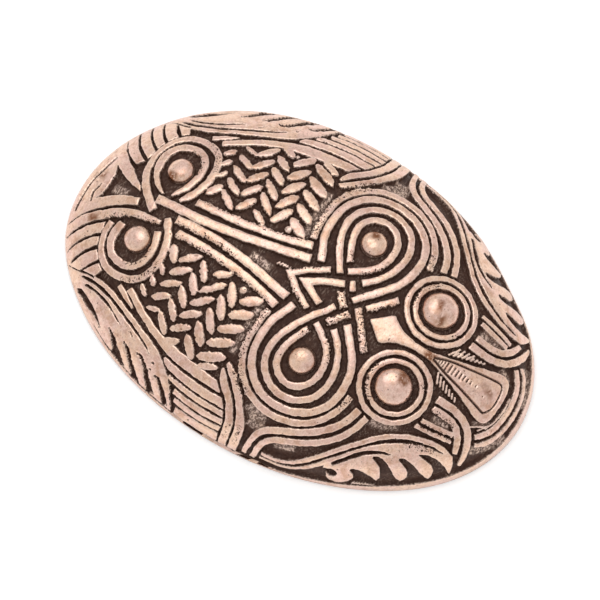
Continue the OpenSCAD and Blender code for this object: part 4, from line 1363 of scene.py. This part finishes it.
# %% [markdown]
# ## Floor, light and camera
#
# The brooch lies on white paper in very even light, as such finds are photographed. A bright world
# lights it from all sides, and the paper glows a little, so that nothing under the brooch goes
# black. One large soft lamp gives the light a direction.

# %% The floor
FLOOR_SIZE = 6
FLOOR_DROP = 0.00005  # just under the rim, so that the two don't share a plane

bpy.ops.mesh.primitive_plane_add(size=FLOOR_SIZE, location=(0, 0, -FLOOR_DROP))
floor = bpy.context.object
floor.name = "floor"
paper = bpy.data.materials.new("pale_floor")
paper.use_nodes = True
for name, value in (("Base Color", (0.9, 0.9, 0.9, 1)), ("Roughness", 0.9),
                    ("Emission Color", (1, 1, 1, 1)), ("Emission Strength", 0.3)):
    paper.node_tree.nodes["Principled BSDF"].inputs[name].default_value = value
floor.data.materials.append(paper)
print("The floor is", FLOOR_SIZE, "metres wide")

# %% The light
WORLD_STRENGTH = 0.91
KEY_PLACE = (-0.3, 0.25, 0.9)
KEY_SIZE = 0.8
KEY_POWER = 2.3

world = bpy.data.worlds.new("studio")
bpy.context.scene.world = world
world.use_nodes = True
background = world.node_tree.nodes["Background"]
background.inputs["Color"].default_value = (1, 1, 1, 1)
background.inputs["Strength"].default_value = WORLD_STRENGTH


def soft_light(name, place, target, size, power):
    light = bpy.data.lights.new(name, "AREA")
    light.size = size
    light.energy = power
    lamp = bpy.data.objects.new(name, light)
    lamp.location = place
    lamp.rotation_euler = (Vector(target) - Vector(place)).to_track_quat("-Z", "Y").to_euler()
    bpy.context.collection.objects.link(lamp)
    return lamp


key = soft_light("key", KEY_PLACE, (0, 0, 0), KEY_SIZE, KEY_POWER)
bpy.context.scene.view_settings.view_transform = "Standard"
print("Lamp:", key.name, "of", KEY_POWER, "watts; world:", WORLD_STRENGTH)

# %% [markdown]
# The camera looks down steeply, from a place given by two angles and a distance. It stands far
# away and has a very long lens, which keeps the oval almost free of perspective.

# %% The camera
AZIMUTH = 31.18
ELEVATION = 75.10
DISTANCE = 2.841
LENS = 827.0
SENSOR = 36
SHIFT_X, SHIFT_Y = -0.003727, 0.003448

camera_data = bpy.data.cameras.new("camera")
camera_data.sensor_width = SENSOR
camera_data.lens = LENS
camera_data.shift_x = SHIFT_X
camera_data.shift_y = SHIFT_Y
camera = bpy.data.objects.new("camera", camera_data)
a, e = math.radians(AZIMUTH), math.radians(ELEVATION)
back = Vector((math.sin(a) * math.cos(e), -math.cos(a) * math.cos(e), math.sin(e)))
right = Vector((math.cos(a), math.sin(a), 0))
up = back.cross(right)
turn = Matrix((right, up, back)).transposed().to_4x4()
camera.matrix_world = Matrix.Translation(Vector((0, 0, RIM_EDGE * MM)) + back * DISTANCE) @ turn
bpy.context.collection.objects.link(camera)
bpy.context.scene.camera = camera
print("Camera at", [round(c, 3) for c in camera.matrix_world.translation])
